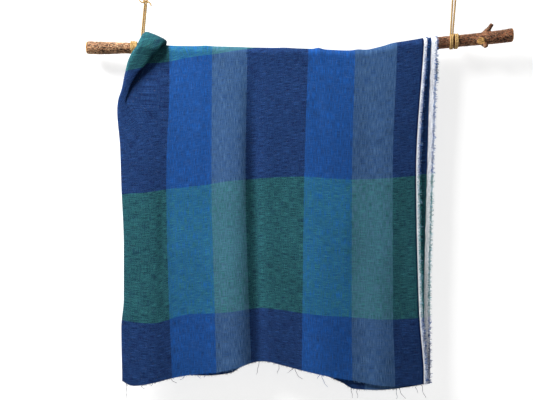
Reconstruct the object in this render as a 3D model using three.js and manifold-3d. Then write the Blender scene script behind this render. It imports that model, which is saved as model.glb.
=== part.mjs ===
// A length of plaid linen, folded selvage to selvage and draped over a branch that hangs in two twine slings.
// Millimetres. X runs along the branch, +Z is up and -Y is the front. The origin lies on the branch's axis,
// midway between the slings.
import * as THREE from "three";
import { mergeVertices } from "three/addons/utils/BufferGeometryUtils.js";
import Module from "manifold-3d";

const wasm = await Module();
wasm.setup();

// Cloth sizes. Positions across the cloth, u, run from the inner selvage at -CLOTH_REACH through the fold
// at 0 to the outer selvage at +CLOTH_REACH, and take in the frayed ends of the weft.
const CLOTH_REACH = 738;
const CLOTH_THICKNESS = 1.2;
const QUARTER_TURN = 21;
const STRIP_HEIGHT = 3;
const PIECE_GAP = 0.3;
const HEM_GAP = 0.5;
const THREAD_WIDTH = 0.8;
const THREAD_SIDES = 4;
const THREAD_STEPS = 4;

// Drops below the branch at which the stripe lines and folds are placed.
const DROP_TOP = 0;
const DROP_MIDDLE = 300;
const DROP_LOW = 620;
const DROP_HEM = 770;

// Branch and twine sizes.
const BRANCH_SIDES = 14;
const BRANCH_STEP = 17;
const BARK_RELIEF = 0.06;
const TWINE_DIAMETER = 4;
const TWINE_SIDES = 8;
const WRAP_SIDES = 22;
const WRAP_BORE_GAP = 0.5;
const WRAP_HEIGHT = 3.6;
const KNOT_RADIUS = 6.5;
const KNOT_HEIGHT = 6;
const EYE_RADIUS = 9;
const EYE_SINK = 2;
const KNOT_END_SHARE = 0.8;
const STRAND_STEPS = 8;
const STRAND_CLEARANCE = 14.5;
const TAIL_STEPS = 5;
const TIE_RADIUS = 4.5;

// A table's rows as objects, from the names of its columns.
function table(names, values) {
  const keys = names.split(" ");
  return values.map((row) => Object.fromEntries(keys.map((key, index) => [key, row[index]])));
}

// The branch's axis and radius.
const BRANCH = table("x y z radius", [
  [-498, 7, 20.4, 15.6],
  [-440, 3, 19.2, 14.4],
  [-392, 0, 18.4, 12.8],
  [-344, 0, 13.0, 13.0],
  [-287, 0, 6.6, 13.4],
  [-200, 0, 5.2, 13.5],
  [-76, 0, 2.0, 13.5],
  [40, 0, -0.8, 13.6],
  [136, 0, -5.0, 13.6],
  [174, 0, -3.0, 13.6],
  [212, 0, 5.0, 13.7],
  [251, 0, 14.5, 13.8],
  [289, 0, 20.8, 13.9],
  [347, 0, 30.5, 14.1],
  [424, -2, 37.8, 13.9],
  [472, -5, 42.5, 15.0],
  [523, -9, 48.0, 16.5],
]);

// Waves of the bark: lobes about the branch and turn of each along it, in radians for a millimetre.
const BARK_WAVES = table("lobes twist", [
  [2, 0.021],
  [3, -0.047],
  [1, 0.083],
]);

// The stub of a broken twig, the scar of a side branch that was cut off, and the nub beside it.
const TWIG = table("x y z radius", [
  [457, -4, 46, 12],
  [463, -4, 57, 7.5],
  [470, -5, 67, 4.5],
  [475, -6, 75, 3.6],
]);
const CUT_SCAR = table("x y z radius", [
  [447, -4, 38, 12],
  [446, -13, 35, 11],
  [445.5, -19, 33, 9.5],
]);
const NUB = table("x y z radius", [
  [453, -6, 33, 9],
  [457, -13, 24, 6.5],
  [458.5, -16, 19, 4.5],
]);
const STUB_SIDES = 10;

// Where the stripe lines of the outer layer lie in X, at four drops below the branch.
const STRIPE_LINES = table("u top middle low hem", [
  [110, -301, -307, -300, -294],
  [220, -199, -200, -192, -188],
  [310, -112, -116, -107, -101],
  [452, 31, 21, 17, 15],
  [565, 146, 138, 137, 139],
  [660, 243, 232, 232, 237],
  [722, 306, 287.5, 294, 306],
  [CLOTH_REACH, 321, 303, 310, 321.5],
]);

// Where the inner layer's selvage lies in X at those drops, how much further it reaches behind the branch
// and within what drop, and the places where its flat run is set.
const INNER_SELVAGE = { top: 345, middle: 336.5, low: 329, hem: 330 };
const BACK_REACH = 8;
const BACK_REACH_DROP = 45;
const INNER_STATIONS = [-CLOTH_REACH, -600, -450, -300, -170, -80];

// The raw front hem, on both layers, as it was cut and as it hangs.
const FRONT_HEM = table("u z", [
  [-738, -784],
  [-649, -795],
  [-600, -797],
  [-552, -795],
  [-520, -778],
  [-480, -761],
  [-382, -727],
  [-337, -720],
  [-300, -731],
  [-256, -757],
  [-199, -764],
  [-123, -761],
  [-40, -772],
  [0, -775],
  [28, -787],
  [68, -780],
  [110, -770],
  [166, -761],
  [220, -756],
  [266, -747],
  [310, -734],
  [350, -730],
  [400, -738],
  [452, -749],
  [508, -762],
  [565, -774],
  [660, -788],
  [738, -785],
]);

// How far the back drop reaches below the branch's axis.
const BACK_DROP = table("u drop", [
  [-738, 88],
  [-452, 95],
  [-220, 101],
  [0, 84],
  [220, 103],
  [452, 97],
  [738, 91],
]);

// The folded left edge, by the way along the cloth from the branch's crest, the front being positive.
const FOLD_EDGE = table("way x", [
  [-120, -366],
  [-21, -358],
  [0, -358],
  [10, -363],
  [21, -373],
  [35, -383],
  [50, -391],
  [86, -401],
  [122, -409],
  [150, -418],
  [172, -420],
  [260, -413],
  [350, -410],
  [500, -404],
  [620, -404],
  [690, -410],
  [800, -408],
]);

// The soft roll in which the folded edge stands off the branch. Its crease and crown lie this far from the
// edge, the crease is tucked under the roll, and the crown stands this far off the bark. The lip keeps a share of
// that height.
const ROLL = table("way crease tuck crown off lip", [
  [-120, 48, -8, 28, 6, 0.45],
  [-60, 44, -4, 17, 13, 0.4],
  [-21, 46, 0, 11, 21, 0.3],
  [0, 54, 2, 9, 30, 0.3],
  [10, 56, 6, 16, 29, 0.5],
  [21, 54, 10, 24, 27, 0.72],
  [35, 49, 11, 26, 23.5, 0.8],
  [50, 47, 10, 25, 20.5, 0.8],
  [86, 29, 8, 15, 15.5, 0.8],
  [122, 18, 5, 9, 11.5, 0.8],
  [150, 18, 1, 8, 9.5, 0.7],
  [172, 30, -8, 16, 8.5, 0.5],
  [260, 58, -14, 30, 8.5, 0.45],
]);

// Places across the cloth that shape the roll, from behind the folded edge to the flat front.
const ROLL_PLACES = { behind: -24, turn: -10, edge: 0, shoulder: 12, crown: 30, lip: 54, foot: 68, flat: 84 };
const BEHIND_INSET = 18;
const TURN_INSET = 4;
const TURN_SHARE = 0.25;
const SHOULDER_INSET_SHARE = 0.25;
const SHOULDER_RISE_SHARE = 0.72;
const FLAT_SHARE = 0.4;

// How far the middle of each layer stands off the bark.
const LAYERS = table("way inner outer", [
  [-120, 2.2, 5.2],
  [-21, 1.7, 3.8],
  [21, 1.7, 3.8],
  [120, 2.2, 6.5],
  [300, 2.5, 8],
  [800, 2.5, 8.5],
]);

// Soft vertical folds of the front drop: ridges stand towards the front, troughs are negative.
const FOLDS = table("xTop xHem halfWidth top middle hem", [
  [-345, -335, 46, 0, 5, 9],
  [-150, -132, 42, 0, 9, 12],
  [-97, -86, 21, 0, -10, -14],
  [55, 75, 74, 0, 7, 10],
  [212, 205, 40, 0, 2, 8],
  [335, 338, 60, 0, -9, -12],
]);

// Ravelled ends along the hem: root across the cloth, length, sideways sway and lean to the front.
const THREADS = table("u length sway lean", [
  [15, 36, 1, 1],
  [44, 10, 7, 3],
  [70, 8, -5, 2],
  [113, 12, 14, 4],
  [146, 11, -10, -1],
  [177, 12, 9, 3],
  [200, 12, -8, -2],
  [274, 7, 2, 1],
  [333, 32, -7, 2],
  [393, 23, -4, 1],
  [433, 12, -15, 2],
  [438, 26, 17, 1],
  [495, 11, -6, 2],
  [500, 29, 15, 1],
  [672, 31, 14, 2],
  [706, 20, 9, 1],
  [722, 33, 8, 2],
  [-544, 25, 5, 1],
  [-558, 22, 2, 2],
  [-652, 27, 2, 1],
]);

// Twine slings: where the turns lie along the branch, where the two strands leave it behind, where they run up
// to, and where the two ends are tied behind the branch.
const SLINGS = [
  {
    side: "left", turns: [-387, -383, -379, -375],
    feet: [-369.5, -365], heads: [-357.4, -353], knotX: -355.2, knotZ: 128, tieX: -389,
  },
  {
    side: "right", turns: [374.5, 378.5, 387, 391],
    feet: [379, 383.5], heads: [382.2, 389.2], knotX: 385.7, knotZ: 145, tieX: 394,
  },
];

// The way of a knot's short end, from the middle of the knot.
const KNOT_END = table("x y z", [
  [2, 0, 0],
  [7, -2, -1],
  [11, -3, -4],
  [14, -3, -8],
]);

const materials = {
  linen: new THREE.MeshStandardMaterial({ color: 0x24558a, roughness: 0.9, metalness: 0 }),
  thread: new THREE.MeshStandardMaterial({ color: 0x1f3c66, roughness: 0.9, metalness: 0 }),
  bark: new THREE.MeshStandardMaterial({ color: 0x7f5b48, roughness: 0.85, metalness: 0 }),
  twine: new THREE.MeshStandardMaterial({ color: 0xb8935a, roughness: 0.9, metalness: 0 }),
};

// The smooth curve through a row of points, level beyond its ends. It never swings past its points.
function smooth(places, values, place) {
  const last = places.length - 1;
  if (place <= places[0]) return values[0];
  if (place >= places[last]) return values[last];
  let index = 0;
  while (place > places[index + 1]) index += 1;
  const rise = (k) => (values[k + 1] - values[k]) / (places[k + 1] - places[k]);
  const slope = (k) => {
    if (k === 0) return rise(0);
    if (k === last) return rise(last - 1);
    if (rise(k - 1) * rise(k) <= 0) return 0;
    const before = places[k] - places[k - 1];
    const after = places[k + 1] - places[k];
    const weights = [2 * after + before, after + 2 * before];
    return (weights[0] + weights[1]) / (weights[0] / rise(k - 1) + weights[1] / rise(k));
  };
  const span = places[index + 1] - places[index];
  const t = (place - places[index]) / span;
  const start = (1 + 2 * t) * (1 - t) ** 2 * values[index] + t * (1 - t) ** 2 * span * slope(index);
  const end = t * t * (3 - 2 * t) * values[index + 1] + t * t * (t - 1) * span * slope(index + 1);
  return start + end;
}

// One column of a table as a smooth function of another.
function curve(rows, at, value) {
  const places = rows.map((row) => row[at]);
  const values = rows.map((row) => row[value]);
  return (place) => smooth(places, values, place);
}

const mix = THREE.MathUtils.lerp;
const branchY = curve(BRANCH, "x", "y");
const branchZ = curve(BRANCH, "x", "z");
const branchRadius = curve(BRANCH, "x", "radius");
const frontHem = curve(FRONT_HEM, "u", "z");
const backDrop = curve(BACK_DROP, "u", "drop");
const foldEdge = curve(FOLD_EDGE, "way", "x");
const innerOff = curve(LAYERS, "way", "inner");
const outerOff = curve(LAYERS, "way", "outer");
const rollCrease = curve(ROLL, "way", "crease");
const rollTuck = curve(ROLL, "way", "tuck");
const rollCrown = curve(ROLL, "way", "crown");
const rollOff = curve(ROLL, "way", "off");
const rollLip = curve(ROLL, "way", "lip");

// A row of X values given at the four drops, read at any drop.
function atDrop(row, drop) {
  return smooth([DROP_TOP, DROP_MIDDLE, DROP_LOW, DROP_HEM], [row.top, row.middle, row.low, row.hem], drop);
}

// A point of the drape: X, the way along the cloth from the crest, and the distance off the bark.
function drapePoint(x, way, off) {
  const angle = THREE.MathUtils.clamp(way / QUARTER_TURN, -1, 1) * Math.PI / 2;
  const drop = Math.max(0, Math.abs(way) - QUARTER_TURN);
  const reach = branchRadius(x) + off;
  const y = branchY(x) - reach * Math.sin(angle);
  const z = branchZ(x) + reach * Math.cos(angle) - drop;
  return new THREE.Vector3(x, y, z);
}

// The cloth's section at one way along it, as points across the cloth from the inner to the outer selvage.
function section(way) {
  const drop = Math.max(0, Math.abs(way) - QUARTER_TURN);
  const edge = foldEdge(way);
  const inner = innerOff(way);
  const outer = outerOff(way);
  const crownOff = rollOff(way);
  const side = (inner + crownOff) / 2;
  const crease = edge + rollCrease(way);
  const foot = crease - rollTuck(way);
  const crown = edge + rollCrown(way);
  const firstLine = atDrop(STRIPE_LINES[0], drop);
  const behind = way < 0 ? Math.min(1, drop / BACK_REACH_DROP) : 0;
  const innerEdge = atDrop(INNER_SELVAGE, drop) + BACK_REACH * behind;
  const innerX = (u) => mix(edge, innerEdge, -u / CLOTH_REACH);
  return table("u x off", [
    ...INNER_STATIONS.map((u) => [u, innerX(u), inner]),
    [ROLL_PLACES.behind, edge + BEHIND_INSET, inner],
    [ROLL_PLACES.turn, edge + TURN_INSET, mix(inner, side, TURN_SHARE)],
    [ROLL_PLACES.edge, edge, side],
    [ROLL_PLACES.shoulder, mix(edge, crown, SHOULDER_INSET_SHARE), mix(side, crownOff, SHOULDER_RISE_SHARE)],
    [ROLL_PLACES.crown, crown, crownOff],
    [ROLL_PLACES.lip, crease, mix(outer, crownOff, rollLip(way))],
    [ROLL_PLACES.foot, foot, outer],
    [ROLL_PLACES.flat, mix(foot, firstLine, FLAT_SHARE), outer],
    ...STRIPE_LINES.map((line) => [line.u, atDrop(line, drop), outer]),
  ]);
}

// How far the soft folds push the front drop forward.
function foldRelief(x, drop) {
  const along = drop / DROP_HEM;
  return FOLDS.reduce((sum, fold) => {
    const height = smooth([DROP_TOP, DROP_MIDDLE, DROP_HEM], [fold.top, fold.middle, fold.hem], drop);
    const distance = (x - mix(fold.xTop, fold.xHem, along)) / fold.halfWidth;
    return sum + height * Math.exp(-distance * distance);
  }, 0);
}

// A point of the cloth's middle surface.
function clothPoint(u, way) {
  const points = section(way);
  const x = curve(points, "u", "x")(u);
  const off = curve(points, "u", "off")(u);
  const relief = way > QUARTER_TURN ? foldRelief(x, way - QUARTER_TURN) : 0;
  return drapePoint(x, way, off + relief);
}

// The way along the cloth to its front hem, and to its back hem.
function frontWay(u) {
  const x = curve(section(QUARTER_TURN + DROP_HEM), "u", "x")(u);
  return QUARTER_TURN + branchZ(x) - frontHem(u);
}

function backWay(u) {
  return -(QUARTER_TURN + backDrop(u));
}

// A closed geometry from points and triangles, turned so that its faces point out.
function closedGeometry(points, triangles) {
  const volume = triangles.reduce((sum, [a, b, c]) => {
    return sum + points[a].dot(new THREE.Vector3().crossVectors(points[b], points[c]));
  }, 0);
  const faces = volume > 0 ? triangles : triangles.map(([a, b, c]) => [a, c, b]);
  const geometry = new THREE.BufferGeometry().setFromPoints(points);
  geometry.setIndex(faces.flat());
  geometry.computeVertexNormals();
  return geometry;
}

// A sheet of even thickness about a grid of points.
function thickSheet(grid, thickness) {
  const rows = grid.length;
  const columns = grid[0].length;
  const clampRow = (i) => Math.min(rows - 1, Math.max(0, i));
  const clampColumn = (j) => Math.min(columns - 1, Math.max(0, j));
  const normalAt = (i, j) => {
    const down = grid[clampRow(i + 1)][j].clone().sub(grid[clampRow(i - 1)][j]);
    const across = grid[i][clampColumn(j + 1)].clone().sub(grid[i][clampColumn(j - 1)]);
    return across.cross(down).normalize();
  };
  const points = [];
  for (const side of [0.5, -0.5]) {
    for (let i = 0; i < rows; i += 1) {
      for (let j = 0; j < columns; j += 1) {
        points.push(grid[i][j].clone().addScaledVector(normalAt(i, j), side * thickness));
      }
    }
  }
  const outer = (i, j) => i * columns + j;
  const inner = (i, j) => rows * columns + outer(i, j);
  const triangles = [];
  const quad = (a, b, c, d) => triangles.push([a, b, c], [a, c, d]);
  for (let i = 0; i + 1 < rows; i += 1) {
    for (let j = 0; j + 1 < columns; j += 1) {
      quad(outer(i, j), outer(i, j + 1), outer(i + 1, j + 1), outer(i + 1, j));
      quad(inner(i, j), inner(i + 1, j), inner(i + 1, j + 1), inner(i, j + 1));
    }
    quad(outer(i, 0), outer(i + 1, 0), inner(i + 1, 0), inner(i, 0));
    quad(outer(i, columns - 1), inner(i, columns - 1), inner(i + 1, columns - 1), outer(i + 1, columns - 1));
  }
  for (let j = 0; j + 1 < columns; j += 1) {
    quad(outer(0, j), inner(0, j), inner(0, j + 1), outer(0, j + 1));
    quad(outer(rows - 1, j), outer(rows - 1, j + 1), inner(rows - 1, j + 1), inner(rows - 1, j));
  }
  return closedGeometry(points, triangles);
}

// A closed skin over rings of points, with a flat cap at each end.
function loft(rings) {
  const sides = rings[0].length;
  const points = rings.flat();
  const triangles = [];
  for (let i = 0; i + 1 < rings.length; i += 1) {
    for (let k = 0; k < sides; k += 1) {
      const next = (k + 1) % sides;
      triangles.push([i * sides + k, i * sides + next, (i + 1) * sides + next]);
      triangles.push([i * sides + k, (i + 1) * sides + next, (i + 1) * sides + k]);
    }
  }
  const last = (rings.length - 1) * sides;
  for (let k = 1; k + 1 < sides; k += 1) {
    triangles.push([0, k + 1, k]);
    triangles.push([last, last + k, last + k + 1]);
  }
  return closedGeometry(points, triangles);
}

// A tube of even section along a curve.
function tube(points, diameter, sides, steps) {
  const outline = new THREE.Shape();
  for (let k = 0; k < sides; k += 1) {
    const angle = (k + 0.5) / sides * Math.PI * 2;
    const corner = [diameter / 2 * Math.cos(angle), diameter / 2 * Math.sin(angle)];
    if (k === 0) outline.moveTo(...corner);
    else outline.lineTo(...corner);
  }
  outline.closePath();
  const extrudePath = new THREE.CatmullRomCurve3(points);
  return new THREE.ExtrudeGeometry(outline, { steps, extrudePath });
}

// Geometries joined into one closed body.
function joined(geometries) {
  const solids = geometries.map((source) => {
    const bare = source.clone();
    bare.deleteAttribute("normal");
    bare.deleteAttribute("uv");
    const merged = mergeVertices(bare, 1e-3);
    const mesh = new wasm.Mesh({
      numProp: 3,
      vertProperties: new Float32Array(merged.attributes.position.array),
      triVerts: new Uint32Array(merged.index.array),
    });
    return new wasm.Manifold(mesh);
  });
  const whole = solids.reduce((sum, solid) => sum.add(solid)).getMesh();
  const geometry = new THREE.BufferGeometry();
  geometry.setAttribute("position", new THREE.BufferAttribute(new Float32Array(whole.vertProperties), 3));
  geometry.setIndex(Array.from(whole.triVerts));
  geometry.computeVertexNormals();
  return geometry;
}

function piece(name, geometry, material) {
  const mesh = new THREE.Mesh(geometry, material);
  mesh.name = name;
  return mesh;
}

// Even steps from one value to another, both ends taken in.
function steps(from, to, count) {
  return Array.from({ length: count + 1 }, (_, index) => mix(from, to, index / count));
}

// Where the cloth is sampled across: evenly over the two layers, closely round the folded edge.
const ACROSS = [
  ...steps(-CLOTH_REACH, -80, 24),
  ...[-66, -52, -38, -24, -16, -10, -5, 0, 6, 12, 20, 30, 42, 54, 61, 68, 76, 84, 97],
  ...steps(110, CLOTH_REACH, 25),
];

// Where it is sampled along: shares of the front drop, turns about the branch, and shares of the back drop.
const FRONT_SHARES = [
  1, 0.95, 0.88, 0.8, 0.71, 0.62, 0.53, 0.44, 0.36,
  0.29, 0.235, 0.19, 0.155, 0.125, 0.1, 0.07, 0.045, 0.02,
];
const CREST_TURNS = steps(1, -1, 10);
const BACK_SHARES = [0.25, 0.6, 1];

// The ways along the cloth at one place across, from the front hem over the branch to the back hem.
function waysAlong(u) {
  const drop = frontWay(u) - STRIP_HEIGHT - HEM_GAP - QUARTER_TURN;
  const back = backWay(u) + QUARTER_TURN;
  return [
    ...FRONT_SHARES.map((share) => QUARTER_TURN + share * drop),
    ...CREST_TURNS.map((turn) => turn * QUARTER_TURN),
    ...BACK_SHARES.map((share) => share * back - QUARTER_TURN),
  ];
}

// A grid of cloth points: one row for each way along, one column for each place across.
function clothGrid(waysAt) {
  const columns = ACROSS.map((u) => waysAt(u).map((way) => clothPoint(u, way)));
  return columns[0].map((_, row) => columns.map((column) => column[row]));
}

function clothGeometry() {
  return thickSheet(clothGrid(waysAlong), CLOTH_THICKNESS);
}

// A point in the middle of the hem strip, on the flat between two sampled places.
function hemRoot(u) {
  const after = ACROSS.findIndex((place) => place >= u);
  const ends = [ACROSS[after - 1], ACROSS[after]];
  const points = ends.map((place) => clothPoint(place, frontWay(place) - STRIP_HEIGHT / 2));
  return points[0].lerp(points[1], (u - ends[0]) / (ends[1] - ends[0]));
}

// The ravelled hem: a narrow strip along the raw edge with its loose ends.
function hemThreadsGeometry() {
  const strip = thickSheet(clothGrid((u) => [frontWay(u), frontWay(u) - STRIP_HEIGHT]), CLOTH_THICKNESS);
  const strands = THREADS.map((thread) => {
    const root = hemRoot(thread.u);
    const points = steps(0, 1, THREAD_STEPS).map((share) => {
      const swing = thread.sway * share * share;
      return root.clone().add(new THREE.Vector3(swing, -thread.lean * share, -thread.length * share));
    });
    return tube(points, THREAD_WIDTH, THREAD_SIDES, THREAD_STEPS);
  });
  return joined([strip, ...strands]);
}

// The branch, with its uneven bark, its twig stub, the cut scar and the nub.
function barkRadius(x, angle) {
  const wave = BARK_WAVES.reduce((sum, row) => sum + Math.sin(row.lobes * angle + row.twist * x), 0);
  return branchRadius(x) * (1 - BARK_RELIEF * (1 + wave / BARK_WAVES.length) / 2);
}

function branchRing(x) {
  return Array.from({ length: BRANCH_SIDES }, (_, k) => {
    const angle = k / BRANCH_SIDES * Math.PI * 2;
    const radius = barkRadius(x, angle);
    return new THREE.Vector3(x, branchY(x) + radius * Math.cos(angle), branchZ(x) + radius * Math.sin(angle));
  });
}

// A tapered stub, round in section, through the rows of a table.
function stub(rows) {
  const points = rows.map((row) => new THREE.Vector3(row.x, row.y, row.z));
  const rings = points.map((centre, index) => {
    const ahead = points[Math.min(index + 1, points.length - 1)];
    const behind = points[Math.max(index - 1, 0)];
    const turn = new THREE.Quaternion().setFromUnitVectors(
      new THREE.Vector3(0, 0, 1),
      ahead.clone().sub(behind).normalize(),
    );
    return Array.from({ length: STUB_SIDES }, (_, k) => {
      const angle = k / STUB_SIDES * Math.PI * 2;
      const spoke = new THREE.Vector3(Math.cos(angle), Math.sin(angle), 0).multiplyScalar(rows[index].radius);
      return spoke.applyQuaternion(turn).add(centre);
    });
  });
  return loft(rings);
}

function branchGeometry() {
  const start = BRANCH[0].x;
  const end = BRANCH[BRANCH.length - 1].x;
  const wood = loft(steps(start, end, Math.round((end - start) / BRANCH_STEP)).map(branchRing));
  return joined([wood, stub(TWIG), stub(CUT_SCAR), stub(NUB)]);
}

// The place along the branch about which a sling is wound.
function slingMiddle(sling) {
  return (sling.turns[0] + sling.turns[sling.turns.length - 1]) / 2;
}

// The turns of twine about the branch: one ring whose outside follows the turns, with the tie behind it.
function wrapsGeometry(sling) {
  const middle = slingMiddle(sling);
  const bore = branchRadius(middle) + WRAP_BORE_GAP;
  const half = TWINE_DIAMETER / 2;
  const places = sling.turns.map((x) => x - middle);
  const last = places.length - 1;
  const profile = [new THREE.Vector2(bore, places[last] + half), new THREE.Vector2(bore, places[0] - half)];
  places.forEach((at, turn) => {
    profile.push(new THREE.Vector2(bore + half, at - half * 0.98));
    profile.push(new THREE.Vector2(bore + WRAP_HEIGHT, at - half * 0.55));
    profile.push(new THREE.Vector2(bore + WRAP_HEIGHT, at + half * 0.55));
    profile.push(new THREE.Vector2(bore + half, at + half * 0.98));
    if (turn < last && places[turn + 1] - at > TWINE_DIAMETER) {
      profile.push(new THREE.Vector2(bore + half * 0.5, (at + places[turn + 1]) / 2));
    }
  });
  profile.push(profile[0].clone());
  const ring = new THREE.LatheGeometry(profile, WRAP_SIDES);
  const tie = new THREE.SphereGeometry(TIE_RADIUS, 10, 8);
  tie.translate(-bore - TIE_RADIUS, sling.tieX - middle, 0);
  return joined([ring, tie]);
}

function axisPoint(x) {
  return new THREE.Vector3(x, branchY(x), branchZ(x));
}

function addWraps(group, sling) {
  const wraps = piece(`${sling.side}_twine_wraps`, wrapsGeometry(sling), materials.twine);
  const middle = slingMiddle(sling);
  const start = axisPoint(middle - BRANCH_STEP);
  const end = axisPoint(middle + BRANCH_STEP);
  wraps.quaternion.setFromUnitVectors(new THREE.Vector3(0, 1, 0), end.sub(start).normalize());
  wraps.position.copy(axisPoint(middle));
  group.add(wraps);
}

// A strand's way round the branch from behind, under it and towards the turns, up to where the ring starts.
function strandTail(sling, index) {
  const foot = sling.feet[index];
  const front = sling.turns[sling.turns.length - 2 + index];
  const ringEdge = Math.max(...sling.turns) + TWINE_DIAMETER + 2 * PIECE_GAP;
  const sweep = (foot - ringEdge) / (foot - front) * Math.PI;
  return steps(sweep, 0, TAIL_STEPS).map((angle) => {
    const x = mix(foot, front, angle / Math.PI);
    const reach = branchRadius(x) + WRAP_BORE_GAP + TWINE_DIAMETER / 2;
    return axisPoint(x).add(new THREE.Vector3(0, reach * Math.cos(angle), -reach * Math.sin(angle)));
  });
}

// The two strands from behind the branch up to the knot. A strand that lies behind the ring starts above it.
function addStrands(group, sling) {
  for (const [index, letter] of ["a", "b"].entries()) {
    const footX = sling.feet[index];
    const headX = sling.heads[index];
    const inset = Math.max(0, Math.abs(headX - sling.knotX) - TWINE_DIAMETER / 2);
    const knotFloor = KNOT_HEIGHT * Math.sqrt(1 - (inset / KNOT_RADIUS) ** 2);
    const head = new THREE.Vector3(headX, branchY(footX), sling.knotZ - knotFloor - 2 * PIECE_GAP);
    const reach = branchRadius(footX) + WRAP_BORE_GAP + TWINE_DIAMETER / 2;
    const behind = axisPoint(footX).add(new THREE.Vector3(0, reach, 0));
    const beside = footX > Math.max(...sling.turns) + TWINE_DIAMETER;
    const start = beside ? 0 : STRAND_CLEARANCE / behind.distanceTo(head);
    const rise = steps(start, 1, STRAND_STEPS).map((share) => behind.clone().lerp(head, share));
    const points = beside ? [...strandTail(sling, index).slice(0, -1), ...rise] : rise;
    const strand = tube(points, TWINE_DIAMETER, TWINE_SIDES, STRAND_STEPS * (beside ? 2 : 1));
    group.add(piece(`${sling.side}_twine_strand_${letter}`, strand, materials.twine));
  }
}

// The knot, with two short ends and the eye that it hangs by.
function addKnot(group, sling) {
  const ball = new THREE.SphereGeometry(1, 14, 10).scale(KNOT_RADIUS, KNOT_RADIUS, KNOT_HEIGHT);
  const eye = new THREE.TorusGeometry(EYE_RADIUS, TWINE_DIAMETER / 2, TWINE_SIDES, 20);
  eye.rotateX(Math.PI / 2).translate(0, 0, KNOT_HEIGHT + EYE_RADIUS - EYE_SINK);
  const ends = [-1, 1].map((side) => {
    const route = KNOT_END.map((row) => new THREE.Vector3(side * row.x, row.y, row.z));
    return tube(route, TWINE_DIAMETER * KNOT_END_SHARE, TWINE_SIDES, STRAND_STEPS);
  });
  const knot = piece(`${sling.side}_twine_knot`, joined([ball, eye, ...ends]), materials.twine);
  knot.position.set(sling.knotX, branchY(sling.knotX), sling.knotZ);
  group.add(knot);
}

const hanging = new THREE.Group();
hanging.add(piece("cloth", clothGeometry(), materials.linen));
hanging.add(piece("hem_threads", hemThreadsGeometry(), materials.thread));
hanging.add(piece("branch", branchGeometry(), materials.bark));
for (const sling of SLINGS) {
  addWraps(hanging, sling);
  addStrands(hanging, sling);
  addKnot(hanging, sling);
}

export default hanging;
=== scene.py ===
"""A length of plaid linen, draped over a branch that hangs in two twine slings.

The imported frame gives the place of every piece. The tables below are in millimetres, as in the part's source,
and every mesh is in metres. X runs along the branch, +Z is up and -Y is the front.
"""

import math

import bmesh
import bpy
import numpy as np
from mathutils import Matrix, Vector, noise


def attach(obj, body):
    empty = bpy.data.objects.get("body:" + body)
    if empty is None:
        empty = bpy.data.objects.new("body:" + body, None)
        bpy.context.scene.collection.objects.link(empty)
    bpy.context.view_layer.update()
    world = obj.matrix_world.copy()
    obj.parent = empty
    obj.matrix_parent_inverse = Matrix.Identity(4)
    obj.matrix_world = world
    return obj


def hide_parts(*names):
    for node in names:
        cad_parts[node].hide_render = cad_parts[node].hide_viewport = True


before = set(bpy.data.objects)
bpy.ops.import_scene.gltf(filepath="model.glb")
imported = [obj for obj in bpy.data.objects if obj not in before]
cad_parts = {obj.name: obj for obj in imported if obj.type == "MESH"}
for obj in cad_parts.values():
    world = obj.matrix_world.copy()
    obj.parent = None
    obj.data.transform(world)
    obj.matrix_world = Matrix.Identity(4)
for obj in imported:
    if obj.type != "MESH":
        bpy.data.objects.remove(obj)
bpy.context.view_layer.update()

bl_info = {
    "name": "Draped plaid linen",
    "version": (1, 0, 0),
    "blender": (4, 5, 0),
    "location": "3D View > Sidebar > Linen",
    "description": "Dresses a plaid linen cloth, its branch rod and its twine slings",
    "category": "Object",
}

MM = 0.001
SEED = 7

# Cloth sizes. Places across the cloth, u, run from the inner selvage through the fold at 0 to the outer
# selvage.
CLOTH_REACH = 738.0
WOVEN_REACH = 735.0
SELVAGE_START = 722.0
QUARTER_TURN = 21.0
BAND_HEIGHT = 320.0
DROPS = [0.0, 300.0, 620.0, 770.0]
FOLD_DROPS = [0.0, 300.0, 770.0]

# The branch's axis and radius: x, y, z, radius.
BRANCH = np.array([
    [-498, 7, 20.4, 15.6],
    [-440, 3, 19.2, 14.4],
    [-392, 0, 18.4, 12.8],
    [-344, 0, 13.0, 13.0],
    [-287, 0, 6.6, 13.4],
    [-200, 0, 5.2, 13.5],
    [-76, 0, 2.0, 13.5],
    [40, 0, -0.8, 13.6],
    [136, 0, -5.0, 13.6],
    [174, 0, -3.0, 13.6],
    [212, 0, 5.0, 13.7],
    [251, 0, 14.5, 13.8],
    [289, 0, 20.8, 13.9],
    [347, 0, 30.5, 14.1],
    [424, -2, 37.8, 13.9],
    [472, -5, 42.5, 15.0],
    [523, -9, 48.0, 16.5],
])
BARK_WAVES = [(2, 0.021), (3, -0.047), (1, 0.083)]
BARK_SWELL = 0.06
BARK_FULLNESS = 0.03

# The stub of a broken twig, the scar of a cut side branch and the nub beside it: x, y, z, radius.
TWIG = [(457, -4, 46, 12), (463, -4, 57, 7.5), (470, -5, 67, 4.5), (475, -6, 75, 3.6)]
CUT_SCAR = [(447, -4, 38, 12), (446, -13, 35, 11), (445.5, -19, 33, 9.5)]
NUB = [(453, -6, 33, 9), (457, -13, 24, 6.5), (458.5, -16, 19, 4.5)]

# Where the stripe lines of the outer layer lie in X at four drops: u, then top, middle, low, hem.
STRIPE_LINES = np.array([
    [110, -301, -307, -300, -294],
    [220, -199, -200, -192, -188],
    [310, -112, -116, -107, -101],
    [452, 31, 21, 17, 15],
    [565, 146, 138, 137, 139],
    [660, 243, 232, 232, 237],
    [SELVAGE_START, 306, 287.5, 294, 306],
    [CLOTH_REACH, 321, 303, 310, 321.5],
])
INNER_SELVAGE = np.array([345, 336.5, 329, 330])
BACK_REACH = 8.0
BACK_REACH_DROP = 45.0
INNER_STATIONS = [-CLOTH_REACH, -600, -450, -300, -170, -80]

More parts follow.
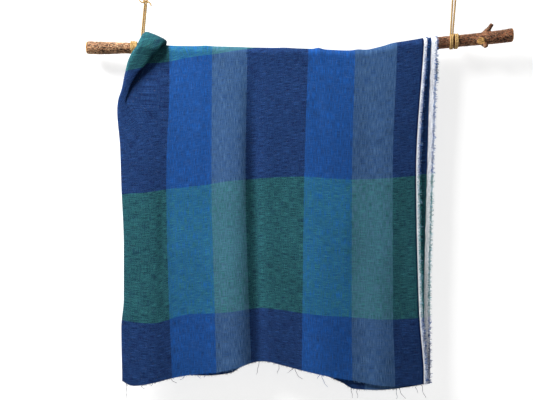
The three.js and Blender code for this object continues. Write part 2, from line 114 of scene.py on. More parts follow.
# The raw front hem on both layers: u, z.
FRONT_HEM = np.array([
    [-738, -784], [-649, -795], [-600, -797], [-552, -795], [-520, -778], [-480, -761], [-382, -727],
    [-337, -720], [-300, -731], [-256, -757], [-199, -764], [-123, -761], [-40, -772], [0, -775],
    [28, -787], [68, -780], [110, -770], [166, -761], [220, -756], [266, -747], [310, -734], [350, -730],
    [400, -738], [452, -749], [508, -762], [565, -774], [660, -788], [738, -785],
])
BACK_DROP = np.array([[-738, 88], [-452, 95], [-220, 101], [0, 84], [220, 103], [452, 97], [738, 91]])

# The folded left edge, by the way along the cloth from the branch's crest: way, x.
FOLD_EDGE = np.array([
    [-120, -366], [-21, -358], [0, -358], [10, -363], [21, -373], [35, -383], [50, -391], [86, -401],
    [122, -409], [150, -418], [172, -420], [260, -413], [350, -410], [500, -404], [620, -404], [690, -410],
    [800, -408],
])

# The soft roll of the folded edge: way, crease, tuck, crown, off, and the share of off at its lip.
ROLL = np.array([
    [-120, 48, -8, 28, 6, 0.45],
    [-60, 44, -4, 17, 13, 0.4],
    [-21, 46, 0, 9, 21, 0.3],
    [0, 54, 2, 8, 30, 0.34],
    [10, 56, 7, 11, 31, 0.5],
    [21, 54, 12, 13, 30, 0.6],
    [35, 49, 13, 13, 27, 0.64],
    [50, 47, 12, 12, 24, 0.66],
    [86, 29, 9, 9, 18, 0.72],
    [122, 18, 5, 7, 12.5, 0.75],
    [150, 18, 1, 8, 9.5, 0.7],
    [172, 30, -8, 16, 8.5, 0.5],
    [260, 58, -14, 30, 8.5, 0.45],
])
ROLL_PLACES = [-24, -10, 0, 12, 30, 54, 68, 84]
BEHIND_INSET = 18
TURN_INSET = 4
TURN_SHARE = 0.25
SHOULDER_INSET_SHARE = 0.25
SHOULDER_RISE_SHARE = 0.72
FLAT_SHARE = 0.4

# Painted shade in the tuck under the roll, darkening the cloth's colour: its half width, and by the way along,
# its depth and its middle across.
TUCK_SHADE_HALF = 13.0
TUCK_SHADE_WAYS = [-16.0, 0.0, 90.0, 150.0]
TUCK_SHADE_DEPTHS = [0.0, 1.0, 1.0, 0.0]
TUCK_SHADE_MIDDLES = [58.0, 62.0, 68.0]

# How far the middle of each layer stands off the bark: way, inner, outer.
LAYERS = np.array([
    [-120, 2.2, 5.2],
    [-21, 1.7, 3.8],
    [21, 1.7, 3.8],
    [120, 2.2, 6.5],
    [300, 2.5, 8.0],
    [800, 2.5, 8.5],
])

# Soft vertical folds of the front drop: x at the top and hem, half width, height at top, middle and hem.
FOLDS = np.array([
    [-345, -335, 46, 0, 5, 9],
    [-150, -132, 42, 0, 8, 10],
    [-97, -86, 21, 0, -8, -11],
    [55, 75, 74, 0, 7, 10],
    [212, 205, 40, 0, 2, 8],
    [335, 338, 60, 0, -9, -12],
])

# Creases and crinkles: x, way, half width, half length, slant, height.
CREASES = np.array([
    [-97, 330, 16, 270, 0.02, -1.6],
    [-122, 300, 12, 240, 0.02, 0.7],
    [-76, 420, 9, 200, 0.03, 1.2],
    [-312, 480, 10, 150, 0.01, -2.2],
    [-290, 440, 13, 170, 0.02, -1.6],
    [-225, 220, 20, 160, -0.05, 1.3],
    [60, 180, 16, 150, 0.08, -1.2],
    [120, 470, 18, 190, -0.03, 1.4],
    [180, 250, 22, 170, 0.05, -1.3],
    [262, 520, 17, 190, -0.02, -1.4],
    [20, 640, 15, 110, 0.06, -1.3],
    [-190, 690, 17, 90, 0.02, 1.5],
    [59, -2, 9, 26, 0.1, 3.6],
    [155, -4, 12, 24, -0.1, 2.4],
    [-210, 6, 14, 30, 0.2, 1.2],
    [-20, 2, 18, 26, -0.1, 1.1],
    [236, 0, 15, 30, 0.3, 1.3],
])

# Where the weft bands change: u, way of the top line, then z of the middle and low lines.
WEFT_LINES = np.array([
    [0, 84, -346, -644],
    [30, 80, -342, -648],
    [68, 60, -333, -645],
    [110, 48, -324, -633],
    [166, 35, -318, -620],
    [220, 28, -311, -618],
    [266, 20.5, -304, -614],
    [310, 14, -300, -608],
    [350, 4, -297, -606],
    [400, -7, -294, -610],
    [452, -14, -293, -617],
    [508, -12, -297, -623],
    [565, -10, -300, -627],
    [660, -10, -296, -633],
    [738, -12, -290, -632],
])

# Warp stripes from the inner to the outer selvage: where each starts, and its yarn.
WARP_STRIPES = [
    (-738, "white"), (-724, "navy"), (-672, "slate"), (-580, "navy"), (-438, "royal"), (-350, "slate"),
    (-280, "navy"), (-124, "slate"), (-32, "navy"), (110, "royal"), (220, "slate"), (310, "navy"),
    (452, "royal"), (565, "slate"), (660, "navy"), (SELVAGE_START, "white"),
]
WEFT_BANDS = [(-220, "blue"), (0, "green"), (BAND_HEIGHT, "blue"), (2 * BAND_HEIGHT, "green")]
WEFT_SPAN = (-220.0, 900.0)

# Ravelled ends along the hem: root across the cloth, length, sideways sway and lean to the front.
THREADS = [
    (15, 36, 1, 1), (44, 10, 7, 3), (70, 8, -5, 2), (113, 12, 14, 4), (146, 11, -10, -1), (177, 12, 9, 3),
    (200, 12, -8, -2), (274, 7, 2, 1), (333, 32, -7, 2), (393, 23, -4, 1), (433, 12, -15, 2),
    (438, 26, 17, 1), (495, 11, -6, 2), (500, 29, 15, 1), (672, 31, 14, 2), (706, 20, 9, 1), (722, 33, 8, 2),
    (-544, 25, 5, 1), (-558, 22, 2, 2), (-652, 27, 2, 1),
]

# Twine slings. Two strands come down behind the branch and are wound round it side by side. Each strand's
# turns are places along the branch, half a turn apart from behind it, and the two ends are tied behind.
SLINGS = {
    "left": {
        "a": {"turns": (-369.5, -379, -383, -387, -391), "head": -357.4},
        "b": {"turns": (-365, -375, -379, -383, -387), "head": -353},
        "knot": (-355.2, 0, 128),
        "tie": -389,
    },
    "right": {
        "a": {"turns": (379, 374.5, 387.3, 387, 391.5), "head": 382.2},
        "b": {"turns": (383.5, 378.5, 391.5, 391, 396), "head": 389.2},
        "knot": (385.7, 0, 145),
        "tie": 394,
    },
}
TWINE_GAP = 0.4
TWINE_FULLNESS = 1.15
KNOT_FLOOR = 5.0
EYE_RADIUS = 9.0
EYE_RISE = 13.0

# How many there are of what repeats.
FRINGE_COUNT = 1250
FUZZ_COUNT = 1500
HAIR_COUNT = 420
BARK_RINGS = 256
BARK_SIDES = 40
STUB_RINGS = 14
STUB_SIDES = 24

# How far the frayed weft ends stand in front of the sheet, and how much they lean to the front.
FRINGE_RISE = 0.75
FRINGE_LEAN = 0.12
FRINGE_START_WAY = 60.0

# The weave's two sets of yarn: axis across, axis along, slubs and runs in a metre, and weight.
YARN_SETS = ((0, 1, 560.0, 48.0, 0.8), (1, 0, 600.0, 50.0, 0.52))

BARK_VOXEL = 1.7
PLY_SHARE = 0.28
FIRST_SIDE = (0.31, 0.87, 0.38)
SHARP_ANGLE = math.radians(60)

# Where the camera looks, in x and z, and its sensor.
VIEW_CENTRE = (-64.8, -346.0)
SENSOR_WIDTH = 36.0


# Settings

def length_setting(name, description, default):
    return bpy.props.FloatProperty(
        name=name, description=description, default=default, min=0.0, precision=5, unit="LENGTH"
    )


def colour_setting(name, description, default):
    return bpy.props.FloatVectorProperty(
        name=name, description=description, default=default, size=3, min=0.0, max=1.0, subtype="COLOR"
    )


def factor_setting(name, description, default, most=1.0):
    return bpy.props.FloatProperty(name=name, description=description, default=default, min=0.0, max=most)


class LinenSettings(bpy.types.PropertyGroup):
    """Sizes and yarn colours of the cloth."""

    thickness: length_setting("Thickness", "Thickness of the woven sheet", 0.8 * MM)
    thread_pitch: length_setting("Thread pitch", "Distance between threads", 0.55 * MM)
    fringe_length: length_setting("Fringe length", "Mean length of the frayed weft ends", 5.4 * MM)
    navy: colour_setting("Navy warp", "Warp yarn of the dark stripes", (0.003, 0.0036, 0.025))
    royal: colour_setting("Royal warp", "Warp yarn of the bright stripes", (0.0045, 0.051, 0.222))
    slate: colour_setting("Slate warp", "Warp yarn of the grey-blue stripes", (0.042, 0.085, 0.152))
    white: colour_setting("Selvage warp", "Warp yarn of the pale selvage", (0.8, 0.82, 0.86))
    blue: colour_setting("Blue weft", "Weft yarn of the blue bands", (0.0165, 0.052, 0.16))
    green: colour_setting("Green weft", "Weft yarn of the green bands", (0.026, 0.128, 0.137))


class BranchSettings(bpy.types.PropertyGroup):
    """Relief and colours of the branch."""

    relief: length_setting("Bark relief", "Depth of the ridges in the bark", 1.2 * MM)
    deep: colour_setting("Deep bark", "Bark in the cracks", (0.016, 0.007, 0.004))
    plain: colour_setting("Bark", "Bark over most of the branch", (0.165, 0.06, 0.026))
    worn: colour_setting("Worn bark", "Lighter bark at the left", (0.26, 0.125, 0.06))
    pale: colour_setting("Pale bark", "Flecks and worn patches", (0.6, 0.43, 0.25))
    wood: colour_setting("Bare wood", "Sawn ends and the cut scar", (0.54, 0.3, 0.1))


class TwineSettings(bpy.types.PropertyGroup):
    """Size and colours of the twine."""

    diameter: length_setting("Diameter", "Thickness of the laid twine", 4 * MM)
    lay: length_setting("Lay", "Length of one twist of the plies", 15 * MM)
    pale: colour_setting("Pale fibre", "Outer fibres", (0.55, 0.37, 0.155))
    # The deep fibre colour goes where the fibre relief and random patches are low: painted shade in the low
    # fibres.
    deep: colour_setting("Deep fibre", "Fibres in the grooves", (0.19, 0.105, 0.034))


class StageSettings(bpy.types.PropertyGroup):
    """Camera, backdrop and light."""

    distance: length_setting("Camera distance", "From the lens to the branch", 2.2)
    view_width: length_setting("View width", "Width of the view at the branch", 1.2792)
    wall_gap: length_setting("Wall gap", "From the branch's axis to the backdrop", 38 * MM)
    floor_drop: length_setting("Floor drop", "From the branch's axis to the floor", 2.4)
    key_power: factor_setting("Key light", "Power of the soft light at the upper left", 198.0, 500.0)
    fill_power: factor_setting("Fill light", "Power of the soft light at the right", 3.0, 500.0)
    wall_glow: factor_setting("Wall glow", "Light that the bright backdrop gives off itself", 0.72, 5.0)
    sky: factor_setting("Sky", "Strength of the even light all round", 0.2, 5.0)


# Curves and the drape of the cloth, in millimetres

def smooth(places, values, at):
    """The curve through a row of points, level beyond its ends, which never swings past its points."""
    places = np.asarray(places, float)
    values = np.asarray(values, float)
    span = np.diff(places)
    widths = span.reshape(-1, *[1] * (values.ndim - 1))
    rise = np.diff(values, axis=0) / widths
    slope = np.zeros_like(values)
    slope[0] = rise[0]
    slope[-1] = rise[-1]
    before, after = widths[:-1], widths[1:]
    heavy, light = 2 * after + before, after + 2 * before
    same = rise[:-1] * rise[1:] > 0
    earlier = np.where(same, rise[:-1], 1.0)
    later = np.where(same, rise[1:], 1.0)
    slope[1:-1] = np.where(same, (heavy + light) / (heavy / earlier + light / later), 0.0)
    place = np.clip(at, places[0], places[-1])
    k = np.clip(np.searchsorted(places, place, side="right") - 1, 0, len(span) - 1)
    t = (place - places[k]) / span[k]
    start = (1 + 2 * t) * (1 - t) ** 2 * values[k] + t * (1 - t) ** 2 * span[k] * slope[k]
    end = t * t * (3 - 2 * t) * values[k + 1] + t * t * (t - 1) * span[k] * slope[k + 1]
    return start + end


def column(rows, index, at):
    """One column of a table, read at places of its first column."""
    return smooth(rows[:, 0], rows[:, index], at)


def mix(start, end, share):
    return start + (end - start) * share


def branch_axis(x):
    return column(BRANCH, 1, x), column(BRANCH, 2, x), column(BRANCH, 3, x)


def section(way):
    """The cloth's sections at ways along it: places across, and X and distance off the bark at each."""
    drop = np.maximum(0.0, np.abs(way) - QUARTER_TURN)
    edge = column(FOLD_EDGE, 1, way)
    inner = column(LAYERS, 1, way)
    outer = column(LAYERS, 2, way)
    crease = edge + column(ROLL, 1, way)
    foot = crease - column(ROLL, 2, way)
    crown = edge + column(ROLL, 3, way)
    crown_off = column(ROLL, 4, way)
    side = (inner + crown_off) / 2
    lines = [smooth(DROPS, row[1:], drop) for row in STRIPE_LINES]
    behind = np.where(way < 0, np.minimum(1.0, drop / BACK_REACH_DROP), 0.0)
    inner_edge = smooth(DROPS, INNER_SELVAGE, drop) + BACK_REACH * behind
    rows = [(u, mix(edge, inner_edge, -u / CLOTH_REACH), inner) for u in INNER_STATIONS]
    rolled = [
        (edge + BEHIND_INSET, inner),
        (edge + TURN_INSET, mix(inner, side, TURN_SHARE)),
        (edge, side),
        (mix(edge, crown, SHOULDER_INSET_SHARE), mix(side, crown_off, SHOULDER_RISE_SHARE)),
        (crown, crown_off),
        (crease, mix(outer, crown_off, column(ROLL, 5, way))),
        (foot, outer),
        (mix(foot, lines[0], FLAT_SHARE), outer),
    ]
    rows += [(u, *pair) for u, pair in zip(ROLL_PLACES, rolled)]
    rows += [(row[0], line, outer) for row, line in zip(STRIPE_LINES, lines)]
    places = [row[0] for row in rows]
    return places, np.array([row[1] for row in rows]), np.array([row[2] for row in rows])


def fold_relief(x, way):
    """How far folds push the cloth off its even hang."""
    drop = way - QUARTER_TURN
    total = np.zeros_like(x)
    for x_top, x_hem, half, *heights in FOLDS:
        height = smooth(FOLD_DROPS, heights, drop)
        distance = (x - mix(x_top, x_hem, drop / DROPS[-1])) / half
        total += np.where(drop > 0, height * np.exp(-distance ** 2), 0.0)
    return total


def crease_relief(x, way):
    total = np.zeros_like(x)
    for centre, middle, half, reach, slant, height in CREASES:
        across = (x - centre - slant * (way - middle)) / half
        total += height * np.exp(-across ** 2 - ((way - middle) / reach) ** 2)
    return total


def cloth_column(u, way):
    """Points of the cloth's middle surface at one place across, for an array of ways along."""
    places, xs, offs = section(way)
    x = smooth(places, xs, u)
    off = smooth(places, offs, u) + fold_relief(x, way) + crease_relief(x, way)
    angle = np.clip(way / QUARTER_TURN, -1, 1) * math.pi / 2
    drop = np.maximum(0.0, np.abs(way) - QUARTER_TURN)
    y, z, radius = branch_axis(x)
    reach = radius + off
    return np.stack([x, y - reach * np.sin(angle), z + reach * np.cos(angle) - drop], axis=-1)


def front_way(u):
    places, xs, _ = section(np.array([QUARTER_TURN + DROPS[-1]]))
    x = smooth(places, xs, u)[0]
    return QUARTER_TURN + column(BRANCH, 2, x) - column(FRONT_HEM, 1, u)


def back_way(u):
    return -(QUARTER_TURN + column(BACK_DROP, 1, u))


def weft_place(u, way):
    """How far along the weft bands the cloth lies, zero at the low line and rising to the back hem."""
    across = abs(u)
    x = smooth(STRIPE_LINES[:, 0], STRIPE_LINES[:, 2], across)
    level = QUARTER_TURN + column(BRANCH, 2, x)
    top = column(WEFT_LINES, 1, across)
    middle = level - column(WEFT_LINES, 2, across)
    low = level - column(WEFT_LINES, 3, across)
    ways = [top - BAND_HEIGHT, top, middle, low, low + BAND_HEIGHT]
    bands = [3 * BAND_HEIGHT, 2 * BAND_HEIGHT, BAND_HEIGHT, 0.0, -BAND_HEIGHT]
    return smooth(ways, bands, way)


# Meshes

def new_piece(name, vertices, faces, material, uv=None):
    """A mesh piece at the origin. The uv list has one pair for each corner of each face."""
    mesh = bpy.data.meshes.new(name)
    mesh.from_pydata([tuple(v) for v in vertices], [], faces)
    mesh.polygons.foreach_set("use_smooth", [True] * len(mesh.polygons))
    if uv is not None:
        layer = mesh.uv_layers.new(name="way")
        layer.data.foreach_set("uv", np.asarray(uv, np.float32).ravel())
    mesh.update()
    mesh.validate()
    obj = bpy.data.objects.new(name, mesh)
    bpy.context.scene.collection.objects.link(obj)
    if material:
        mesh.materials.append(material)
    return obj


def put_attribute(mesh, name, kind, values):
    field = "vector" if kind == "FLOAT_VECTOR" else "value"
    mesh.attributes.new(name, kind, "POINT").data.foreach_set(field, np.asarray(values, np.float32).ravel())


def grid_normals(grid):
    down = np.gradient(grid, axis=0)
    across = np.gradient(grid, axis=1)
    normal = np.cross(across, down)
    return normal / np.linalg.norm(normal, axis=2, keepdims=True)


def run_lengths(path):
    """How far along a path each of its points lies."""
    return np.concatenate([[0.0], np.cumsum(np.linalg.norm(np.diff(path, axis=0), axis=1))])


def even_path(points, step):
    """A smooth path through points, as points an even step apart, and how far along each lies."""
    points = np.asarray(points, float)
    places = run_lengths(points)
    fine = np.linspace(0.0, places[-1], int(places[-1] / step * 3) + 2)
    dense = np.stack([smooth(places, points[:, k], fine) for k in range(3)], axis=1)
    lengths = run_lengths(dense)
    count = max(3, int(round(lengths[-1] / step)) + 1)
    even = np.linspace(0.0, lengths[-1], count)
    path = np.stack([np.interp(even, lengths, dense[:, k]) for k in range(3)], axis=1)
    return path, even


def path_frames(path):
    """Two directions square to a path, carried along it without twist."""
    tangents = np.gradient(path, axis=0)
    tangents /= np.linalg.norm(tangents, axis=1, keepdims=True)
    side = np.cross(tangents[0], FIRST_SIDE)
    sides = []
    for tangent in tangents:
        side = side - tangent * np.dot(side, tangent)
        side = side / np.linalg.norm(side)
        sides.append(side)
    sides = np.array(sides)
    return sides, np.cross(tangents, sides)


def rings_about(path, radii, sides):
    """A ring of points square to a path at each of its points."""
    a, b = path_frames(path)
    turns = np.linspace(0, 2 * math.pi, sides, endpoint=False)
    spokes = a[:, None] * np.cos(turns)[None, :, None] + b[:, None] * np.sin(turns)[None, :, None]
    radii = np.broadcast_to(np.asarray(radii, float), (len(path),))
    return path[:, None] + spokes * radii[:, None, None]


def ring_faces(count, sides, start=0):
    """Faces that skin a row of rings and close both its ends."""
    faces = []
    for i in range(count - 1):
        here = start + i * sides
        beyond = here + sides
        for k in range(sides):
            n = (k + 1) % sides
            faces.append([here + k, here + n, beyond + n, beyond + k])
    last = start + (count - 1) * sides
    faces.append([start + k for k in reversed(range(sides))])
    faces.append([last + k for k in range(sides)])
    return faces


def tube(path, radii, sides, start=0):
    """Rings about a path, closed at both ends: vertices, faces and the corner pairs of (length, turn)."""
    rings = rings_about(path, radii, sides)
    lengths = run_lengths(path)
    uv = []
    for near, far in zip(lengths, lengths[1:]):
        for k in range(sides):
            turn, next_turn = k / sides, (k + 1) / sides
            uv += [(near, turn), (near, next_turn), (far, next_turn), (far, turn)]
    uv += [(0.0, 0.0)] * sides + [(lengths[-1], 0.0)] * sides
    return rings.reshape(-1, 3), ring_faces(len(path), sides, start), uv


def laid_twine(path, diameter, lay, plies=3, sides=7):
    """Plies twisted about a path, each a round tube."""
    a, b = path_frames(path)
    lengths = run_lengths(path)
    ply_radius = diameter * PLY_SHARE
    throw = diameter / 2 - ply_radius
    vertices, faces, uv = [], [], []
    for ply in range(plies):
        turn = 2 * math.pi * (lengths / lay + ply / plies)
        centre = path + throw * (a * np.cos(turn)[:, None] + b * np.sin(turn)[:, None])
        points, quads, corners = tube(centre, ply_radius, sides, len(vertices))
        vertices += list(points)
        faces += quads
        uv += [(s, t + ply) for s, t in corners]
    return vertices, faces, uv


# Node trees

def link(tree, value, socket):
    if isinstance(value, bpy.types.NodeSocket):
        tree.links.new(value, socket)
    else:
        socket.default_value = value


def place(tree, kind, inputs=None, **settings):
    """A node with its settings, its inputs linked or set."""
    item = tree.nodes.new(kind)
    for name, value in settings.items():
        setattr(item, name, value)
    for key, value in (inputs or {}).items():
        link(tree, value, item.inputs[key])
    return item


def maths(tree, operation, *values):
    return place(tree, "ShaderNodeMath", dict(enumerate(values)), operation=operation).outputs[0]


def blend(tree, share, first, second, mode="MIX"):
    inputs = {0: share, 6: first, 7: second}
    return place(tree, "ShaderNodeMix", inputs, data_type="RGBA", blend_type=mode).outputs[2]


def tint(tree, colour, tone):
    """A colour made lighter or darker by a tone about one."""
    grey = place(tree, "ShaderNodeCombineColor", {0: tone, 1: tone, 2: tone}).outputs[0]
    return blend(tree, 1.0, colour, grey, "MULTIPLY")


def spread(tree, value, low, high, to_low=0.0, to_high=1.0):
    inputs = {0: value, 1: low, 2: high, 3: to_low, 4: to_high}
    return place(tree, "ShaderNodeMapRange", inputs).outputs[0]


def grain(tree, vector, scale, detail=2.0, dimensions="3D"):
    inputs = {"Vector": vector, "Scale": scale, "Detail": detail}
    return place(tree, "ShaderNodeTexNoise", inputs, noise_dimensions=dimensions).outputs[0]


def parts_of(tree, vector):
    return place(tree, "ShaderNodeSeparateXYZ", {0: vector}).outputs


def joined(tree, x=0.0, y=0.0, z=0.0):
    return place(tree, "ShaderNodeCombineXYZ", {0: x, 1: y, 2: z}).outputs[0]


def attribute(tree, name):
    return place(tree, "ShaderNodeAttribute", attribute_name=name).outputs["Fac"]


def object_place(tree):
    return place(tree, "ShaderNodeTexCoord").outputs["Object"]


def swing_about(tree, value, amount):
    """A value that runs about one half, turned into a swing about zero."""
    return maths(tree, "MULTIPLY", maths(tree, "SUBTRACT", value, 0.5), amount)


def clamped(tree, value):
    return place(tree, "ShaderNodeClamp", {0: value}).outputs[0]


def stretched(tree, vector, scale):
    return place(tree, "ShaderNodeMapping", {"Vector": vector, "Scale": scale}).outputs[0]


def bumped(tree, height, strength, distance, normal=None):
    """A normal bent by a height, on top of another normal where one is given."""
    inputs = {"Height": height, "Strength": strength, "Distance": distance}
    if normal is not None:
        inputs["Normal"] = normal
    return place(tree, "ShaderNodeBump", inputs).outputs[0]


def steps_ramp(tree, value, steps, colours, low, high):
    """A ramp of plain steps: where each starts, and the name of its colour."""
    share = spread(tree, value, low * MM, high * MM)
    ramp = place(tree, "ShaderNodeValToRGB", {0: share})
    ramp.color_ramp.interpolation = "CONSTANT"
    elements = ramp.color_ramp.elements
    for index, (start, name) in enumerate(steps):
        at = (start - low) / (high - low)
        element = elements[index] if index < 2 else elements.new(at)
        element.position = max(0.0, at)
        element.color = (*getattr(colours, name), 1.0)
    return ramp.outputs[0]


def new_group(name, inputs, outputs):
    """A shader group with named sockets: the tree and its two end nodes."""
    tree = bpy.data.node_groups.new(name, "ShaderNodeTree")
    for label, kind in inputs:
        tree.interface.new_socket(label, in_out="INPUT", socket_type=kind)
    for label, kind in outputs:
        tree.interface.new_socket(label, in_out="OUTPUT", socket_type=kind)
    return tree, tree.nodes.new("NodeGroupInput").outputs, tree.nodes.new("NodeGroupOutput").inputs


def fibre_group():
    """Fine fibres along a yarn or a ply: a tone about one, and their height."""
    name = "Fibre streaks"
    if name in bpy.data.node_groups:
        return bpy.data.node_groups[name]
    inputs = [("Vector", "NodeSocketVector"), ("Length", "NodeSocketFloat"), ("Width", "NodeSocketFloat"),
              ("Contrast", "NodeSocketFloat")]
    outputs = [("Tone", "NodeSocketFloat"), ("Height", "NodeSocketFloat")]
    tree, given, result = new_group(name, inputs, outputs)
    parts = parts_of(tree, given["Vector"])
    along = maths(tree, "DIVIDE", parts[0], given["Length"])
    across = maths(tree, "DIVIDE", parts[1], given["Width"])
    lie = joined(tree, along, across, parts[2])
    height = grain(tree, lie, 1.0, 3.0)
    swing = swing_about(tree, height, given["Contrast"])
    link(tree, maths(tree, "ADD", swing, 1.0), result["Tone"])
    link(tree, height, result["Height"])
    return tree


def weave_group():
    """A plain weave of slubby yarns: its colour, with painted shade in the grooves between threads and a
    painted highlight on their crowns, and the height of its threads.
    """
    name = "Slub plain weave"
    if name in bpy.data.node_groups:
        return bpy.data.node_groups[name]
    inputs = [("Vector", "NodeSocketVector"), ("Warp", "NodeSocketColor"), ("Weft", "NodeSocketColor")]
    inputs += [(label, "NodeSocketFloat") for label in ("Threads", "Warp Share", "Streaks")]
    outputs = [("Color", "NodeSocketColor"), ("Height", "NodeSocketFloat"), ("Slub", "NodeSocketFloat")]
    tree, given, result = new_group(name, inputs, outputs)
    vector = given["Vector"]
    parts = parts_of(tree, vector)
    wander = swing_about(tree, grain(tree, vector, 55.0, 2.0, "2D"), 0.25 * MM)
    yarns = []
    for across, along, width, run_scale, weight in YARN_SETS:
        count = maths(tree, "MULTIPLY", maths(tree, "ADD", parts[across], wander), given["Threads"])
        index = maths(tree, "FLOOR", count)
        own = maths(tree, "MULTIPLY", index, 0.737)
        run = maths(tree, "MULTIPLY", parts[along], run_scale)
        lie = joined(tree, own, run, 31.0 * across)
        tone = maths(tree, "SUBTRACT", grain(tree, lie, 1.0, 2.0), 0.5)
        wide = maths(tree, "MULTIPLY", parts[across], width)
        broad = joined(tree, wide, run, 17.0 + across)
        thick = spread(tree, grain(tree, broad, 1.0, 2.5), 0.25, 0.75, -0.7, 0.7)
        thick = maths(tree, "MULTIPLY", thick, weight)
        swing = maths(tree, "ADD", maths(tree, "MULTIPLY", tone, 0.5 + 0.5 * weight), thick)
        swing = maths(tree, "MULTIPLY", swing, given["Streaks"])
        profile = maths(tree, "SINE", maths(tree, "MULTIPLY", maths(tree, "FRACT", count), math.pi))
        yarns.append((index, maths(tree, "ADD", swing, 1.0), profile, thick))
    (warp_index, warp_tone, warp_round, warp_slub), (weft_index, weft_tone, weft_round, weft_slub) = yarns
    over = maths(tree, "FLOORED_MODULO", maths(tree, "ADD", warp_index, weft_index), 2.0)
    share = maths(tree, "ADD", swing_about(tree, over, 0.55), given["Warp Share"])
    lead = maths(tree, "MULTIPLY", maths(tree, "SUBTRACT", warp_slub, weft_slub), 0.42)
    share = clamped(tree, maths(tree, "ADD", share, lead))
    colour = blend(tree, share, tint(tree, given["Weft"], weft_tone), tint(tree, given["Warp"], warp_tone))
    height = maths(tree, "ADD", maths(tree, "MULTIPLY", warp_round, over),
                   maths(tree, "MULTIPLY", weft_round, maths(tree, "SUBTRACT", 1.0, over)))
    # Painted shade and highlight: the colour darkens to 0.78 in the grooves between threads and lightens to
    # 1.12 on their crowns.
    shaded = tint(tree, colour, spread(tree, height, 0.0, 1.0, 0.78, 1.12))
    link(tree, shaded, result["Color"])
    link(tree, height, result["Height"])
    link(tree, maths(tree, "MAXIMUM", warp_slub, weft_slub), result["Slub"])
    return tree


def new_material(name):
    """A material with its node tree cleared to an output and a Principled BSDF."""
    material = bpy.data.materials.new(name)
    material.use_nodes = True
    tree = material.node_tree
    tree.nodes.clear()
    shader = tree.nodes.new("ShaderNodeBsdfPrincipled")
    output = tree.nodes.new("ShaderNodeOutputMaterial")
    tree.links.new(shader.outputs[0], output.inputs[0])
    return material, tree, shader.inputs


def cloth_finish(inputs):
    inputs["Specular IOR Level"].default_value = 0.02
    inputs["Sheen Weight"].default_value = 0.004
    inputs["Sheen Roughness"].default_value = 0.6


def linen_material(linen):
    """The plaid: warp stripes and weft bands crossed in a plain weave with painted shade between its threads,
    with slubs and fading patches, and painted shade along the tuck under the roll.
    """
    material, tree, inputs = new_material("Plaid linen")
    cloth_finish(inputs)
    lie = place(tree, "ShaderNodeUVMap", uv_map="way").outputs[0]
    parts = parts_of(tree, lie)
    warp = steps_ramp(tree, parts[0], WARP_STRIPES, linen, -CLOTH_REACH, CLOTH_REACH)
    weft = steps_ramp(tree, parts[1], WEFT_BANDS, linen, *WEFT_SPAN)
    edge = maths(tree, "ABSOLUTE", parts[0])
    selvage = maths(tree, "GREATER_THAN", edge, SELVAGE_START * MM)
    share = spread(tree, selvage, 0.0, 1.0, 0.5, 0.93)
    streaks = spread(tree, selvage, 0.0, 1.0, 1.3, 0.3)
    weave = place(tree, "ShaderNodeGroup", node_tree=weave_group())
    for key, value in (("Vector", lie), ("Warp", warp), ("Weft", weft), ("Threads", 1.0 / linen.thread_pitch),
                       ("Warp Share", share), ("Streaks", streaks)):
        link(tree, value, weave.inputs[key])
    fade = spread(tree, grain(tree, lie, 9.0, 3.0, "2D"), 0.3, 0.7, 0.94, 1.06)
    # Painted shade: the colour darkens along the tuck under the roll, down to four tenths, on top of the random
    # fading.
    tuck_shade = attribute(tree, "tuck_shade")
    shade = maths(tree, "MULTIPLY", fade, spread(tree, tuck_shade, 0.0, 1.0, 1.0, 0.4))
    faded_and_shaded = tint(tree, weave.outputs["Color"], shade)
    flecks = grain(tree, stretched(tree, lie, (900.0, 220.0, 1.0)), 1.0, 1.0, "2D")
    fleck = spread(tree, flecks, 0.74, 0.82, 0.0, 0.35)
    link(tree, blend(tree, fleck, faded_and_shaded, (0.2, 0.2, 0.2, 1.0)), inputs["Base Color"])
    link(tree, spread(tree, weave.outputs["Height"], 0.0, 1.0, 0.98, 0.8), inputs["Roughness"])
    crumple = grain(tree, lie, 70.0, 3.0, "2D")
    crumpled = bumped(tree, crumple, 0.35, 1.2 * MM)
    slubbed = bumped(tree, weave.outputs["Slub"], 0.5, 0.25 * MM, crumpled)
    woven = bumped(tree, weave.outputs["Height"], 0.6, 0.18 * MM, slubbed)
    link(tree, woven, inputs["Normal"])
    return material


def yarn_material(name, source, steps, colours, low, high, bleach, lift):
    """Loose yarn whose colour comes from where it leaves the cloth."""
    material, tree, inputs = new_material(name)
    cloth_finish(inputs)
    way = attribute(tree, source)
    own = attribute(tree, "own_tone")
    yarn = steps_ramp(tree, way, steps, colours, low, high)
    lie = object_place(tree)
    fibre = place(tree, "ShaderNodeGroup", {"Vector": lie, "Length": 0.004, "Width": 0.0004, "Contrast": 0.7},
                  node_tree=fibre_group())
    lifted = spread(tree, own, 0.0, 1.0, 0.75, lift)
    toned = tint(tree, yarn, maths(tree, "MULTIPLY", fibre.outputs["Tone"], lifted))
    pale = spread(tree, own, 1.0 - bleach, 1.0, 0.0, 0.8)
    link(tree, blend(tree, pale, toned, (0.33, 0.47, 0.68, 1.0)), inputs["Base Color"])
    link(tree, spread(tree, fibre.outputs["Height"], 0.2, 0.8, 0.95, 0.75), inputs["Roughness"])
    link(tree, bumped(tree, fibre.outputs["Height"], 0.4, 0.1 * MM), inputs["Normal"])
    return material


